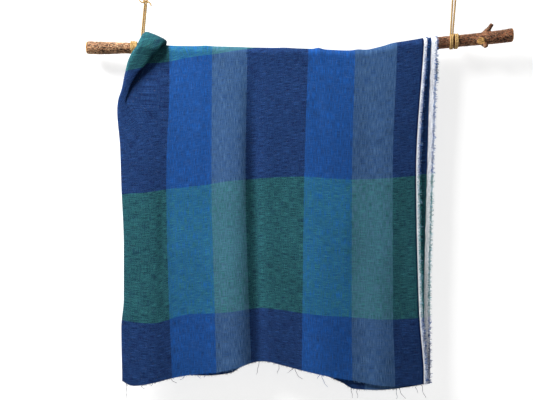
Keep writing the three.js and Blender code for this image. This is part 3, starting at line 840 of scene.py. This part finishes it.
def twine_material(twine):
    material, tree, inputs = new_material("Laid twine")
    cloth_finish(inputs)
    lie = place(tree, "ShaderNodeUVMap", uv_map="way").outputs[0]
    fibre = place(tree, "ShaderNodeGroup", {"Vector": lie, "Length": 0.012, "Width": 0.09, "Contrast": 1.0},
                  node_tree=fibre_group())
    patch = grain(tree, object_place(tree), 160.0, 2.0)
    # The fibres darken where their relief is low, painted shade in the low fibres, and in random patches.
    uneven = maths(tree, "ADD", fibre.outputs["Height"], maths(tree, "MULTIPLY", patch, 0.5))
    colour = blend(tree, spread(tree, uneven, 0.45, 1.0), (*twine.deep, 1.0), (*twine.pale, 1.0))
    link(tree, tint(tree, colour, fibre.outputs["Tone"]), inputs["Base Color"])
    link(tree, spread(tree, fibre.outputs["Height"], 0.2, 0.8, 0.95, 0.7), inputs["Roughness"])
    link(tree, bumped(tree, fibre.outputs["Height"], 0.6, 0.3 * MM), inputs["Normal"])
    return material


def bark_material(branch):
    """Bark streaked along the branch, with worn patches, cracks, sawn ends and the cut scar."""
    material, tree, inputs = new_material("Branch bark")
    inputs["Specular IOR Level"].default_value = 0.25
    lie = object_place(tree)
    parts = parts_of(tree, lie)
    streak = grain(tree, stretched(tree, lie, (170.0, 420.0, 420.0)), 1.0, 6.0)
    mottle = grain(tree, stretched(tree, lie, (55.0, 80.0, 80.0)), 1.0, 4.0)
    flecks = grain(tree, stretched(tree, lie, (330.0, 420.0, 420.0)), 1.0, 3.0)
    left = spread(tree, parts[0], -0.30, -0.42)
    bark = blend(tree, left, (*branch.plain, 1.0), (*branch.worn, 1.0))
    body = blend(tree, spread(tree, streak, 0.42, 0.56), (*branch.deep, 1.0), bark)
    body = tint(tree, body, spread(tree, mottle, 0.3, 0.7, 0.55, 1.5))
    worn = maths(tree, "ADD", spread(tree, mottle, 0.58, 0.68, 0.0, 0.6), spread(tree, flecks, 0.57, 0.66))
    worn = maths(tree, "MULTIPLY", worn, spread(tree, left, 0.0, 1.0, 0.3, 0.8))
    body = blend(tree, clamped(tree, worn), body, (*branch.pale, 1.0))
    wood_mask = attribute(tree, "bare_wood")
    ragged = maths(tree, "ADD", wood_mask, swing_about(tree, flecks, 1.8))
    rings = grain(tree, stretched(tree, lie, (300.0, 500.0, 500.0)), 1.0, 3.0)
    wood = tint(tree, (*branch.wood, 1.0), spread(tree, rings, 0.38, 0.62, 0.3, 1.25))
    link(tree, blend(tree, spread(tree, ragged, 0.45, 0.6), body, wood), inputs["Base Color"])
    link(tree, spread(tree, streak, 0.3, 0.7, 0.95, 0.65), inputs["Roughness"])
    link(tree, bumped(tree, streak, 0.7, 0.8 * MM), inputs["Normal"])
    return material


def frayed_tree():
    """Geometry nodes that put a bent end on every point, along the direction that the point carries."""
    name = "Frayed ends"
    if name in bpy.data.node_groups:
        return bpy.data.node_groups[name]
    tree = bpy.data.node_groups.new(name, "GeometryNodeTree")
    sockets = [("Geometry", "NodeSocketGeometry")]
    sockets += [(label, "NodeSocketFloat") for label in ("Length", "Spread", "Thickness", "Tilt", "Bend")]
    sockets += [("Seed", "NodeSocketInt"), ("Material", "NodeSocketMaterial")]
    for label, kind in sockets:
        tree.interface.new_socket(label, in_out="INPUT", socket_type=kind)
    tree.interface.new_socket("Geometry", in_out="OUTPUT", socket_type="NodeSocketGeometry")
    given = tree.nodes.new("NodeGroupInput").outputs
    lean = maths(tree, "MULTIPLY", given["Bend"], 0.2)
    middle = joined(tree, x=lean, z=0.55)
    tip = joined(tree, x=given["Bend"], z=0.9)
    line = place(tree, "GeometryNodeCurveQuadraticBezier",
                 {"Resolution": 3, "Start": (0.0, 0.0, 0.0), "Middle": middle, "End": tip})
    half = maths(tree, "DIVIDE", maths(tree, "MULTIPLY", given["Thickness"], 0.5), given["Length"])
    ring = place(tree, "GeometryNodeCurvePrimitiveCircle", {"Resolution": 3, "Radius": half})
    end = place(tree, "GeometryNodeCurveToMesh",
                {"Curve": line.outputs[0], "Profile Curve": ring.outputs[0], "Fill Caps": True})
    out = place(tree, "GeometryNodeInputNamedAttribute", {"Name": "out"}, data_type="FLOAT_VECTOR").outputs[0]
    aimed = place(tree, "FunctionNodeAlignRotationToVector", {"Vector": out}, axis="Z").outputs[0]
    tilt = given["Tilt"]
    untilt = maths(tree, "MULTIPLY", tilt, -1.0)
    low = joined(tree, untilt, untilt)
    high = joined(tree, tilt, tilt, 2 * math.pi)
    limits = {0: low, 1: high, "Seed": given["Seed"]}
    swing = place(tree, "FunctionNodeRandomValue", limits, data_type="FLOAT_VECTOR")
    turn = place(tree, "FunctionNodeEulerToRotation", {0: swing.outputs[0]}).outputs[0]
    turned = place(tree, "FunctionNodeRotateRotation", {0: aimed, 1: turn}, rotation_space="LOCAL").outputs[0]
    size = place(tree, "FunctionNodeRandomValue", data_type="FLOAT")
    for socket, operation in ((2, "SUBTRACT"), (3, "ADD")):
        share = maths(tree, operation, 1.0, given["Spread"])
        link(tree, maths(tree, "MULTIPLY", given["Length"], share), size.inputs[socket])
    link(tree, maths(tree, "ADD", given["Seed"], 1), size.inputs["Seed"])
    points = place(tree, "GeometryNodeInstanceOnPoints", {
        "Points": given["Geometry"], "Instance": end.outputs[0], "Rotation": turned, "Scale": size.outputs[1],
    })
    tone = place(tree, "FunctionNodeRandomValue", data_type="FLOAT")
    link(tree, maths(tree, "ADD", given["Seed"], 2), tone.inputs["Seed"])
    toned = place(tree, "GeometryNodeStoreNamedAttribute",
                  {"Geometry": points.outputs[0], "Name": "own_tone", "Value": tone.outputs[1]},
                  data_type="FLOAT", domain="INSTANCE")
    real = place(tree, "GeometryNodeRealizeInstances", {0: toned.outputs[0]})
    dressed = place(tree, "GeometryNodeSetMaterial",
                    {"Geometry": real.outputs[0], "Material": given["Material"]})
    link(tree, dressed.outputs[0], tree.nodes.new("NodeGroupOutput").inputs[0])
    return tree


def frayed_piece(name, points, outs, attributes, material, sizes):
    """A plain mesh of frayed ends on points, in metres, made by the frayed tree."""
    seat = new_piece(name + "_seat", points, [], None)
    put_attribute(seat.data, "out", "FLOAT_VECTOR", outs)
    for label, values in attributes.items():
        put_attribute(seat.data, label, "FLOAT", values)
    tree = frayed_tree()
    modifier = seat.modifiers.new("Frayed ends", "NODES")
    modifier.node_group = tree
    chosen = {**sizes, "Material": material}
    for item in tree.interface.items_tree:
        if item.in_out == "INPUT" and item.name in chosen:
            modifier[item.identifier] = chosen[item.name]
    seat.update_tag()
    evaluated = seat.evaluated_get(bpy.context.evaluated_depsgraph_get())
    mesh = bpy.data.meshes.new_from_object(evaluated)
    bpy.data.objects.remove(seat)
    mesh.name = name
    mesh.polygons.foreach_set("use_smooth", [True] * len(mesh.polygons))
    obj = bpy.data.objects.new(name, mesh)
    bpy.context.scene.collection.objects.link(obj)
    return obj


# Stage

def stage_material(name, colour, seen_from_behind, glow=0.0):
    material, tree, inputs = new_material(name)
    lie = object_place(tree)
    tone = spread(tree, grain(tree, lie, 3.0, 3.0), 0.3, 0.7, 0.985, 1.0)
    link(tree, tint(tree, (*colour, 1.0), tone), inputs["Base Color"])
    inputs["Roughness"].default_value = 0.9
    inputs["Specular IOR Level"].default_value = 0.1
    inputs["Emission Color"].default_value = (1.0, 1.0, 1.0, 1.0)
    inputs["Emission Strength"].default_value = glow
    if not seen_from_behind:
        output = next(item for item in tree.nodes if item.type == "OUTPUT_MATERIAL")
        clear = tree.nodes.new("ShaderNodeBsdfTransparent")
        back = place(tree, "ShaderNodeNewGeometry").outputs["Backfacing"]
        shader = next(item for item in tree.nodes if item.type == "BSDF_PRINCIPLED")
        either = place(tree, "ShaderNodeMixShader", {0: back, 1: shader.outputs[0], 2: clear.outputs[0]})
        tree.links.new(either.outputs[0], output.inputs[0])
    return material


def soft_light(name, place_at, aim, size, power):
    lamp = bpy.data.lights.new(name, "AREA")
    lamp.size = size
    lamp.energy = power
    obj = bpy.data.objects.new(name, lamp)
    obj.location = place_at
    obj.rotation_euler = (Vector(aim) - Vector(place_at)).to_track_quat("-Z", "Y").to_euler()
    bpy.context.scene.collection.objects.link(obj)


class LINEN_OT_stage(bpy.types.Operator):
    """Set up the camera, the pale floor, the backdrop and the soft light."""

    bl_idname = "linen.stage"
    bl_label = "Stage"

    def execute(self, context):
        stage = context.scene.linen_stage
        data = bpy.data.cameras.new("camera")
        data.sensor_width = SENSOR_WIDTH
        data.lens = SENSOR_WIDTH * stage.distance / stage.view_width
        camera = bpy.data.objects.new("camera", data)
        camera.location = (VIEW_CENTRE[0] * MM, -stage.distance, VIEW_CENTRE[1] * MM)
        camera.rotation_euler = (math.pi / 2, 0.0, 0.0)
        context.scene.collection.objects.link(camera)
        context.scene.camera = camera
        context.scene.view_settings.view_transform = "Standard"
        wall_y, floor_z = stage.wall_gap, -stage.floor_drop
        upright = [(-3, wall_y, floor_z), (3, wall_y, floor_z), (3, wall_y, 2), (-3, wall_y, 2)]
        paint = stage_material("Backdrop", (0.38, 0.38, 0.38), False, stage.wall_glow)
        wall = new_piece("backdrop", upright, [(0, 1, 2, 3)], paint)
        level = [(x, y, floor_z) for x, y in ((-4, -4), (4, -4), (4, 4), (-4, 4))]
        boards = stage_material("Pale floor", (0.88, 0.87, 0.85), True)
        floor = new_piece("floor", level, [(0, 1, 2, 3)], boards)
        soft_light("key_light", (-1.5, -1.0, 1.6), (0.0, 0.0, -0.3), 1.0, stage.key_power)
        soft_light("fill_light", (1.9, -1.8, 0.4), (0.0, 0.0, -0.3), 1.6, stage.fill_power)
        world = bpy.data.worlds.new("soft_sky")
        world.use_nodes = True
        sky = world.node_tree.nodes["Background"].inputs
        sky["Color"].default_value = (1.0, 1.0, 1.0, 1.0)
        sky["Strength"].default_value = stage.sky
        context.scene.world = world
        return {"FINISHED"}


# Twine slings

def strand_route(strand, knot, diameter):
    """The twine's way from the knot down behind the branch and round it to the tie."""
    turns = strand["turns"]
    half_turns = len(turns) - 1
    gap = TWINE_GAP + diameter / MM / 2
    head = np.array([strand["head"], column(BRANCH, 1, turns[0]), knot[2] - KNOT_FLOOR])
    level = column(BRANCH, 2, turns[0])
    lean = math.asin((column(BRANCH, 3, turns[0]) + gap) / (head[2] - level))
    places = np.linspace(-lean, half_turns * math.pi, 16 * half_turns + 1)
    xs = smooth(np.arange(half_turns + 1) * math.pi, turns, places)
    y, z, radius = branch_axis(xs)
    out = radius + gap
    winding = np.stack([xs, y + out * np.cos(places), z - out * np.sin(places)], axis=1)
    shares = np.linspace(0, 1, 7)[:-1, None]
    return np.concatenate([head + (winding[0] - head) * shares, winding])


def knot_turns(count, gap, depth):
    """The curve of a simple knot, open by a gap at its ends."""
    t = np.linspace(gap, 2 * math.pi - gap, count)
    aside = np.sin(t) + 2 * np.sin(2 * t)
    up = np.cos(t) - 2 * np.cos(2 * t)
    return np.stack([aside, depth * np.sin(3 * t), up], axis=1)


def knot_paths(knot):
    """The knot's own turns, the eye above it and its two short ends, in millimetres."""
    turns = knot_turns(90, 0.15, 1.1)
    eye_turn = np.linspace(-0.45 * math.pi, 1.45 * math.pi, 40)
    eye = np.stack([EYE_RADIUS * 0.8 * np.cos(eye_turn), 1.2 * np.sin(eye_turn),
                    EYE_RISE + EYE_RADIUS * np.sin(eye_turn)], axis=1)
    end = np.array([(2, 0, 1), (6, -2, 1.5), (10, -3.5, -1), (13, -3.5, -5), (14, -3, -9)])
    return [knot + turns * (1.7, 2.6, 1.7), knot + eye, knot + end * (-1, 1, -0.6), knot + end]


def build_knot(side, knot, twine, material):
    vertices, faces, uv = [], [], []
    for path in knot_paths(np.array(knot, float)):
        even, _ = even_path(path * MM, 0.8 * MM)
        points, quads, corners = laid_twine(even, twine.diameter * 0.9, twine.lay * 0.7, sides=6)
        faces += [[index + len(vertices) for index in face] for face in quads]
        vertices += points
        uv += corners
    piece = new_piece(side + "_tied_knot", vertices, faces, material, uv)
    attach(piece, "root")
    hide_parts(side + "_twine_knot")
    return piece


def build_tie(side, x, twine, material):
    """The small knot behind the branch in which the two ends are tied."""
    y, z, radius = branch_axis(x)
    middle = np.array([x, y + radius + 4.6, z])
    turns = knot_turns(60, 0.1, 1.0)
    even, _ = even_path((middle + turns * (1.3, 1.9, 1.3)) * MM, 0.8 * MM)
    vertices, faces, uv = laid_twine(even, twine.diameter * 0.8, twine.lay * 0.7, sides=6)
    piece = new_piece(side + "_tied_ends", vertices, faces, material, uv)
    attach(piece, "root")
    return piece


def build_hairs(name, path, twine, material):
    """Short fibres that stand off the twine."""
    rng = np.random.default_rng(SEED)
    a, b = path_frames(path)
    picks = rng.integers(2, len(path) - 2, HAIR_COUNT)
    angles = rng.uniform(0, 2 * math.pi, len(picks))
    spokes = a[picks] * np.cos(angles)[:, None] + b[picks] * np.sin(angles)[:, None]
    along = np.gradient(path, axis=0)[picks]
    along /= np.linalg.norm(along, axis=1, keepdims=True)
    outs = spokes + along * rng.choice([-1.0, 1.0], len(picks))[:, None] * 1.3
    seats = path[picks] + spokes * twine.diameter * 0.4
    sizes = {"Length": 3.2 * MM, "Spread": 0.55, "Thickness": 0.18 * MM, "Tilt": 0.4, "Bend": 0.35,
             "Seed": SEED}
    piece = frayed_piece(name + "_hairs", seats, outs, {}, material, sizes)
    layer = piece.data.uv_layers.new(name="way")
    layer.data.foreach_set("uv", np.tile([0.003, 0.4], len(layer.data)).astype(np.float32))
    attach(piece, "root")
    return piece


class LINEN_OT_slings(bpy.types.Operator):
    """Wind, lay and tie the two twine slings."""

    bl_idname = "linen.slings"
    bl_label = "Twine slings"

    def execute(self, context):
        twine = context.scene.linen_twine
        material = twine_material(twine)
        for side, sling in SLINGS.items():
            knot = build_knot(side, sling["knot"], twine, material)
            tie = build_tie(side, sling["tie"], twine, material)
            for letter in ("a", "b"):
                self.wind(side, letter, sling, twine, material, [knot, tie])
        return {"FINISHED"}

    def wind(self, side, letter, sling, twine, material, ends):
        """Lay one strand from its knot to its tie."""
        name = f"{side}_twine_{letter}"
        route = strand_route(sling[letter], sling["knot"], twine.diameter) * MM
        path, lengths = even_path(route, 1.0 * MM)
        vertices, faces, uv = laid_twine(path, twine.diameter * TWINE_FULLNESS, twine.lay)
        cord = new_piece(name, vertices, faces, material, uv)
        hairs = build_hairs(name, path, twine, material)
        nodes = [f"{side}_twine_strand_{letter}"] + ([f"{side}_twine_wraps"] if letter == "a" else [])
        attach(cord, "root")
        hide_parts(*nodes)


# Branch

def loft(rings):
    """Closed rings of points skinned and capped: vertices and faces."""
    vertices = [point for ring in rings for point in ring]
    return vertices, ring_faces(len(rings), len(rings[0]))


def branch_rings():
    start, end = BRANCH[0, 0], BRANCH[-1, 0]
    angles = np.linspace(0, 2 * math.pi, BARK_SIDES, endpoint=False)
    rings = []
    for x in np.linspace(start, end, BARK_RINGS):
        y, z, radius = branch_axis(x)
        wave = sum(np.sin(lobes * angles + twist * x) for lobes, twist in BARK_WAVES) / len(BARK_WAVES)
        worn = 1.0 - 0.2 * math.exp((start - x) / 2.2) - 0.05 * math.exp((x - end) / 1.5)
        reach = radius * (1 + BARK_FULLNESS - BARK_SWELL * (1 + wave) / 2) * worn
        ring = [np.full_like(angles, x), y + reach * np.cos(angles), z + reach * np.sin(angles)]
        rings.append(np.stack(ring, axis=1))
    return rings


def stub_rings(rows):
    rows = np.array(rows, float)
    shares = np.linspace(0, len(rows) - 1, STUB_RINGS)
    path = np.stack([smooth(np.arange(len(rows)), rows[:, k], shares) for k in range(3)], axis=1)
    radii = smooth(np.arange(len(rows)), rows[:, 3], shares)
    return list(rings_about(path, radii, STUB_SIDES))


def bark_depth(point, relief):
    """How far the bark stands off its even surface at a point, in metres."""
    x, y, z = point
    along = Vector((x * 95, y * 300, z * 300))
    ridge = 1.0 - 2.0 * abs(noise.noise(along))
    lumps = noise.noise(Vector((x * 42, y * 60, z * 60)) + Vector((3.1, 7.7, 1.9)))
    rings = noise.noise(Vector((x * 260, y * 45, z * 45)) + Vector((9.2, 1.3, 4.4)))
    return relief * (0.45 * ridge + 0.55 * lumps + 0.25 * rings + 0.1)


class LINEN_OT_branch(bpy.types.Operator):
    """Grow the branch with its bark, twig stub and cut scar."""

    bl_idname = "linen.branch"
    bl_label = "Branch"

    def execute(self, context):
        branch = context.scene.linen_branch
        vertices, faces = [], []
        for rings in (branch_rings(), stub_rings(TWIG), stub_rings(CUT_SCAR), stub_rings(NUB)):
            points, quads = loft([ring * MM for ring in rings])
            faces += [[index + len(vertices) for index in face] for face in quads]
            vertices += points
        piece = new_piece("branch_rod", vertices, faces, None)
        remesh = piece.modifiers.new("One skin", "REMESH")
        remesh.mode = "VOXEL"
        remesh.voxel_size = BARK_VOXEL * MM
        evaluated = piece.evaluated_get(context.evaluated_depsgraph_get())
        skin = bpy.data.meshes.new_from_object(evaluated)
        piece.modifiers.remove(remesh)
        piece.data = skin
        skin.name = "branch_rod"
        work = bmesh.new()
        work.from_mesh(skin)
        axes = {"use_axis_x": True, "use_axis_y": True, "use_axis_z": True}
        bmesh.ops.smooth_vert(work, verts=work.verts, factor=0.5, **axes)
        work.normal_update()
        moves = [vertex.normal * bark_depth(vertex.co, branch.relief) for vertex in work.verts]
        for vertex, move in zip(work.verts, moves):
            vertex.co += move
        work.normal_update()
        scar = Vector(CUT_SCAR[-1][:3]) * MM
        aim = (scar - Vector(CUT_SCAR[0][:3]) * MM).normalized()
        ends = (BRANCH[0, 0] * MM, BRANCH[-1, 0] * MM)
        bare = []
        for vertex in work.verts:
            inset = min(vertex.co.x - ends[0], ends[1] - vertex.co.x)
            sawn = abs(vertex.normal.x) * (inset < 4 * MM)
            rim = 0.9 - inset / (5 * MM)
            near = 1.0 - (vertex.co - scar).length / (14 * MM)
            bare.append(max(sawn, rim, 1.6 * near * max(0.0, vertex.normal.dot(aim)), 0.0))
        work.to_mesh(skin)
        work.free()
        put_attribute(skin, "bare_wood", "FLOAT", bare)
        skin.polygons.foreach_set("use_smooth", [True] * len(skin.polygons))
        skin.materials.append(bark_material(branch))
        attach(piece, "root")
        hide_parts("branch")
        return {"FINISHED"}


# Cloth and its frayed ends

def ways_along(u):
    """Ways along the cloth at one place across, from front to back hem, close together over the branch."""
    front, back = front_way(u), back_way(u)
    shares = np.linspace(1, 0, 116, endpoint=False) ** 1.25
    falling = QUARTER_TURN + shares * (front - QUARTER_TURN)
    crest = np.linspace(QUARTER_TURN, -QUARTER_TURN, 19)
    rear = -QUARTER_TURN + np.linspace(0, 1, 15)[1:] * (back + QUARTER_TURN)
    return np.concatenate([falling, crest, rear])


def places_across():
    inner = np.linspace(-WOVEN_REACH, -90, 92, endpoint=False)
    rolled = np.linspace(-90, 112, 76, endpoint=False)
    outer = np.linspace(112, WOVEN_REACH, 104)
    return np.concatenate([inner, rolled, outer])


def out_direction(u, ways, step):
    """Unit directions from one place across towards another."""
    here = cloth_column(u, ways)
    there = cloth_column(u - step, ways)
    outs = here - there
    return here, outs / np.linalg.norm(outs, axis=1, keepdims=True)


class LINEN_OT_frays(bpy.types.Operator):
    """Fray the two selvages and ravel the raw hem."""

    bl_idname = "linen.frays"
    bl_label = "Frayed ends"

    def execute(self, context):
        linen = context.scene.linen_cloth
        self.fray_selvages(linen)
        self.ravel_hem(linen)
        return {"FINISHED"}

    def fray_selvages(self, linen):
        rng = np.random.default_rng(SEED)
        seats, outs, bands = [], [], []
        for side in (-1, 1):
            u = side * WOVEN_REACH
            ways = np.linspace(back_way(u), front_way(u), FRINGE_COUNT)
            ways = ways + rng.uniform(-0.4, 0.4, FRINGE_COUNT)
            here, out = out_direction(u, ways, side * 3.0)
            in_front = np.clip(ways / FRINGE_START_WAY, 0, 1)[:, None] * np.array([0.0, -1.0, 0.0])
            inset = rng.uniform(0.3, 6.0, FRINGE_COUNT)[:, None]
            seats.append(here - out * inset + FRINGE_RISE * in_front)
            outs.append(out + FRINGE_LEAN * in_front)
            bands.append(weft_place(u, ways))
        material = yarn_material("Frayed weft", "weft_way", WEFT_BANDS, linen, *WEFT_SPAN, 0.35, 2.8)
        sizes = {"Length": linen.fringe_length, "Spread": 0.55, "Thickness": 0.65 * MM, "Tilt": 0.32,
                 "Bend": 0.25, "Seed": SEED}
        piece = frayed_piece("selvage_fringe", np.concatenate(seats) * MM, np.concatenate(outs),
                             {"weft_way": np.concatenate(bands) * MM}, material, sizes)
        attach(piece, "root")

    def ravel_hem(self, linen):
        """Loose warp ends: the long ones listed one by one, and a short fuzz along both hems."""
        material = yarn_material("Ravelled warp", "warp_place", WARP_STRIPES, linen,
                                 -CLOTH_REACH, CLOTH_REACH, 0.08, 1.35)
        vertices, faces, roots = [], [], []
        for u, length, sway, lean in THREADS:
            root = cloth_column(u, np.array([front_way(u) - 1.5]))[0]
            share = np.linspace(0, 1, 15)
            curl = 1.6 * np.sin(share * 9.0 + u)
            path = root + np.stack([sway * share ** 2 + curl * share, -lean * share, -length * share], axis=1)
            even, _ = even_path(path * MM, 1.4 * MM)
            points, quads, _ = tube(even, np.linspace(0.6, 0.4, len(even)) * MM, 5, len(vertices))
            vertices += list(points)
            faces += quads
            roots += [u * MM] * len(points)
        long_ends = new_piece("hem_ravel", vertices, faces, material)
        put_attribute(long_ends.data, "warp_place", "FLOAT", roots)
        put_attribute(long_ends.data, "own_tone", "FLOAT", [0.15] * len(roots))
        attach(long_ends, "root")
        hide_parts("hem_threads")
        rng = np.random.default_rng(SEED + 1)
        seats, places = [], []
        for u in rng.uniform(-WOVEN_REACH, WOVEN_REACH, FUZZ_COUNT):
            for way in (front_way(u) - 0.4, back_way(u) + 0.4):
                seats.append(cloth_column(u, np.array([way]))[0])
                places.append(u * MM)
        sizes = {"Length": 2.6 * MM, "Spread": 0.7, "Thickness": 0.35 * MM, "Tilt": 0.5, "Bend": 0.4,
                 "Seed": SEED + 5}
        fuzz = frayed_piece("hem_fuzz", np.array(seats) * MM, [(0.0, 0.0, -1.0)] * len(seats),
                            {"warp_place": places}, material, sizes)
        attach(fuzz, "root")


class LINEN_OT_cloth(bpy.types.Operator):
    """Drape the plaid cloth over the branch."""

    bl_idname = "linen.cloth"
    bl_label = "Cloth"

    def execute(self, context):
        linen = context.scene.linen_cloth
        across = places_across()
        ways = np.stack([ways_along(u) for u in across], axis=1)
        grid = np.stack([cloth_column(u, ways[:, j]) for j, u in enumerate(across)], axis=1)
        bands = np.stack([weft_place(u, ways[:, j]) for j, u in enumerate(across)], axis=1)
        rows, columns = ways.shape
        normals = grid_normals(grid)
        half = linen.thickness / 2
        skins = [grid * MM + normals * half, grid * MM - normals * half]
        vertices = np.concatenate([skin.reshape(-1, 3) for skin in skins])
        lie = np.stack([np.broadcast_to(across, ways.shape), bands], axis=2).reshape(-1, 2) * MM
        faces = self.shell_faces(rows, columns)
        uv = [lie[index % (rows * columns)] for face in faces for index in face]
        cloth = new_piece("linen_cloth", vertices, faces, linen_material(linen), uv)
        cloth.data.set_sharp_from_angle(angle=SHARP_ANGLE)
        # Painted shade along the tuck under the roll, handed to the material as an attribute.
        middle = smooth(TUCK_SHADE_WAYS[:3], TUCK_SHADE_MIDDLES, ways)
        tuck_shade = np.exp(-((across[None] - middle) / TUCK_SHADE_HALF) ** 2)
        tuck_shade = tuck_shade * smooth(TUCK_SHADE_WAYS, TUCK_SHADE_DEPTHS, ways)
        put_attribute(cloth.data, "tuck_shade", "FLOAT", np.concatenate([tuck_shade.ravel(), tuck_shade.ravel()]))
        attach(cloth, "root")
        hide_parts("cloth")
        return {"FINISHED"}

    def shell_faces(self, rows, columns):
        """Faces of a closed shell over two grids, with its four narrow edges."""
        top = np.arange(rows * columns).reshape(rows, columns)
        low = top + rows * columns
        faces = []
        for i in range(rows - 1):
            for j in range(columns - 1):
                faces.append((top[i, j], top[i, j + 1], top[i + 1, j + 1], top[i + 1, j])[::-1])
                faces.append((low[i, j], low[i + 1, j], low[i + 1, j + 1], low[i, j + 1])[::-1])
        rim = [(i, 0) for i in range(rows)] + [(rows - 1, j) for j in range(1, columns)]
        rim += [(i, columns - 1) for i in range(rows - 2, -1, -1)]
        rim += [(0, j) for j in range(columns - 2, 0, -1)]
        for a, b in zip(rim, rim[1:] + rim[:1]):
            faces.append((top[a], top[b], low[b], low[a])[::-1])
        return [tuple(int(index) for index in face) for face in faces]


class LINEN_PT_pieces(bpy.types.Panel):
    """The pieces of the hanging cloth."""

    bl_label = "Draped linen"
    bl_space_type = "VIEW_3D"
    bl_region_type = "UI"
    bl_category = "Linen"

    def draw(self, context):
        for operator, settings in STEPS:
            self.layout.operator(operator.bl_idname)
            group = getattr(context.scene, settings)
            for name in group.__annotations__:
                self.layout.prop(group, name)


SETTINGS = {
    "linen_stage": StageSettings,
    "linen_twine": TwineSettings,
    "linen_branch": BranchSettings,
    "linen_cloth": LinenSettings,
}
STEPS = [
    (LINEN_OT_stage, "linen_stage"),
    (LINEN_OT_slings, "linen_twine"),
    (LINEN_OT_branch, "linen_branch"),
    (LINEN_OT_frays, "linen_cloth"),
    (LINEN_OT_cloth, "linen_cloth"),
]


def register():
    for name, group in SETTINGS.items():
        bpy.utils.register_class(group)
        setattr(bpy.types.Scene, name, bpy.props.PointerProperty(type=group))
    for operator, _ in STEPS:
        bpy.utils.register_class(operator)
    bpy.utils.register_class(LINEN_PT_pieces)


def unregister():
    bpy.utils.unregister_class(LINEN_PT_pieces)
    for operator, _ in reversed(STEPS):
        bpy.utils.unregister_class(operator)
    for name, group in reversed(SETTINGS.items()):
        delattr(bpy.types.Scene, name)
        bpy.utils.unregister_class(group)


def main():
    register()
    bpy.ops.linen.stage()
    bpy.ops.linen.slings()
    bpy.ops.linen.branch()
    bpy.ops.linen.frays()
    bpy.ops.linen.cloth()


if __name__ == "__main__":
    main()
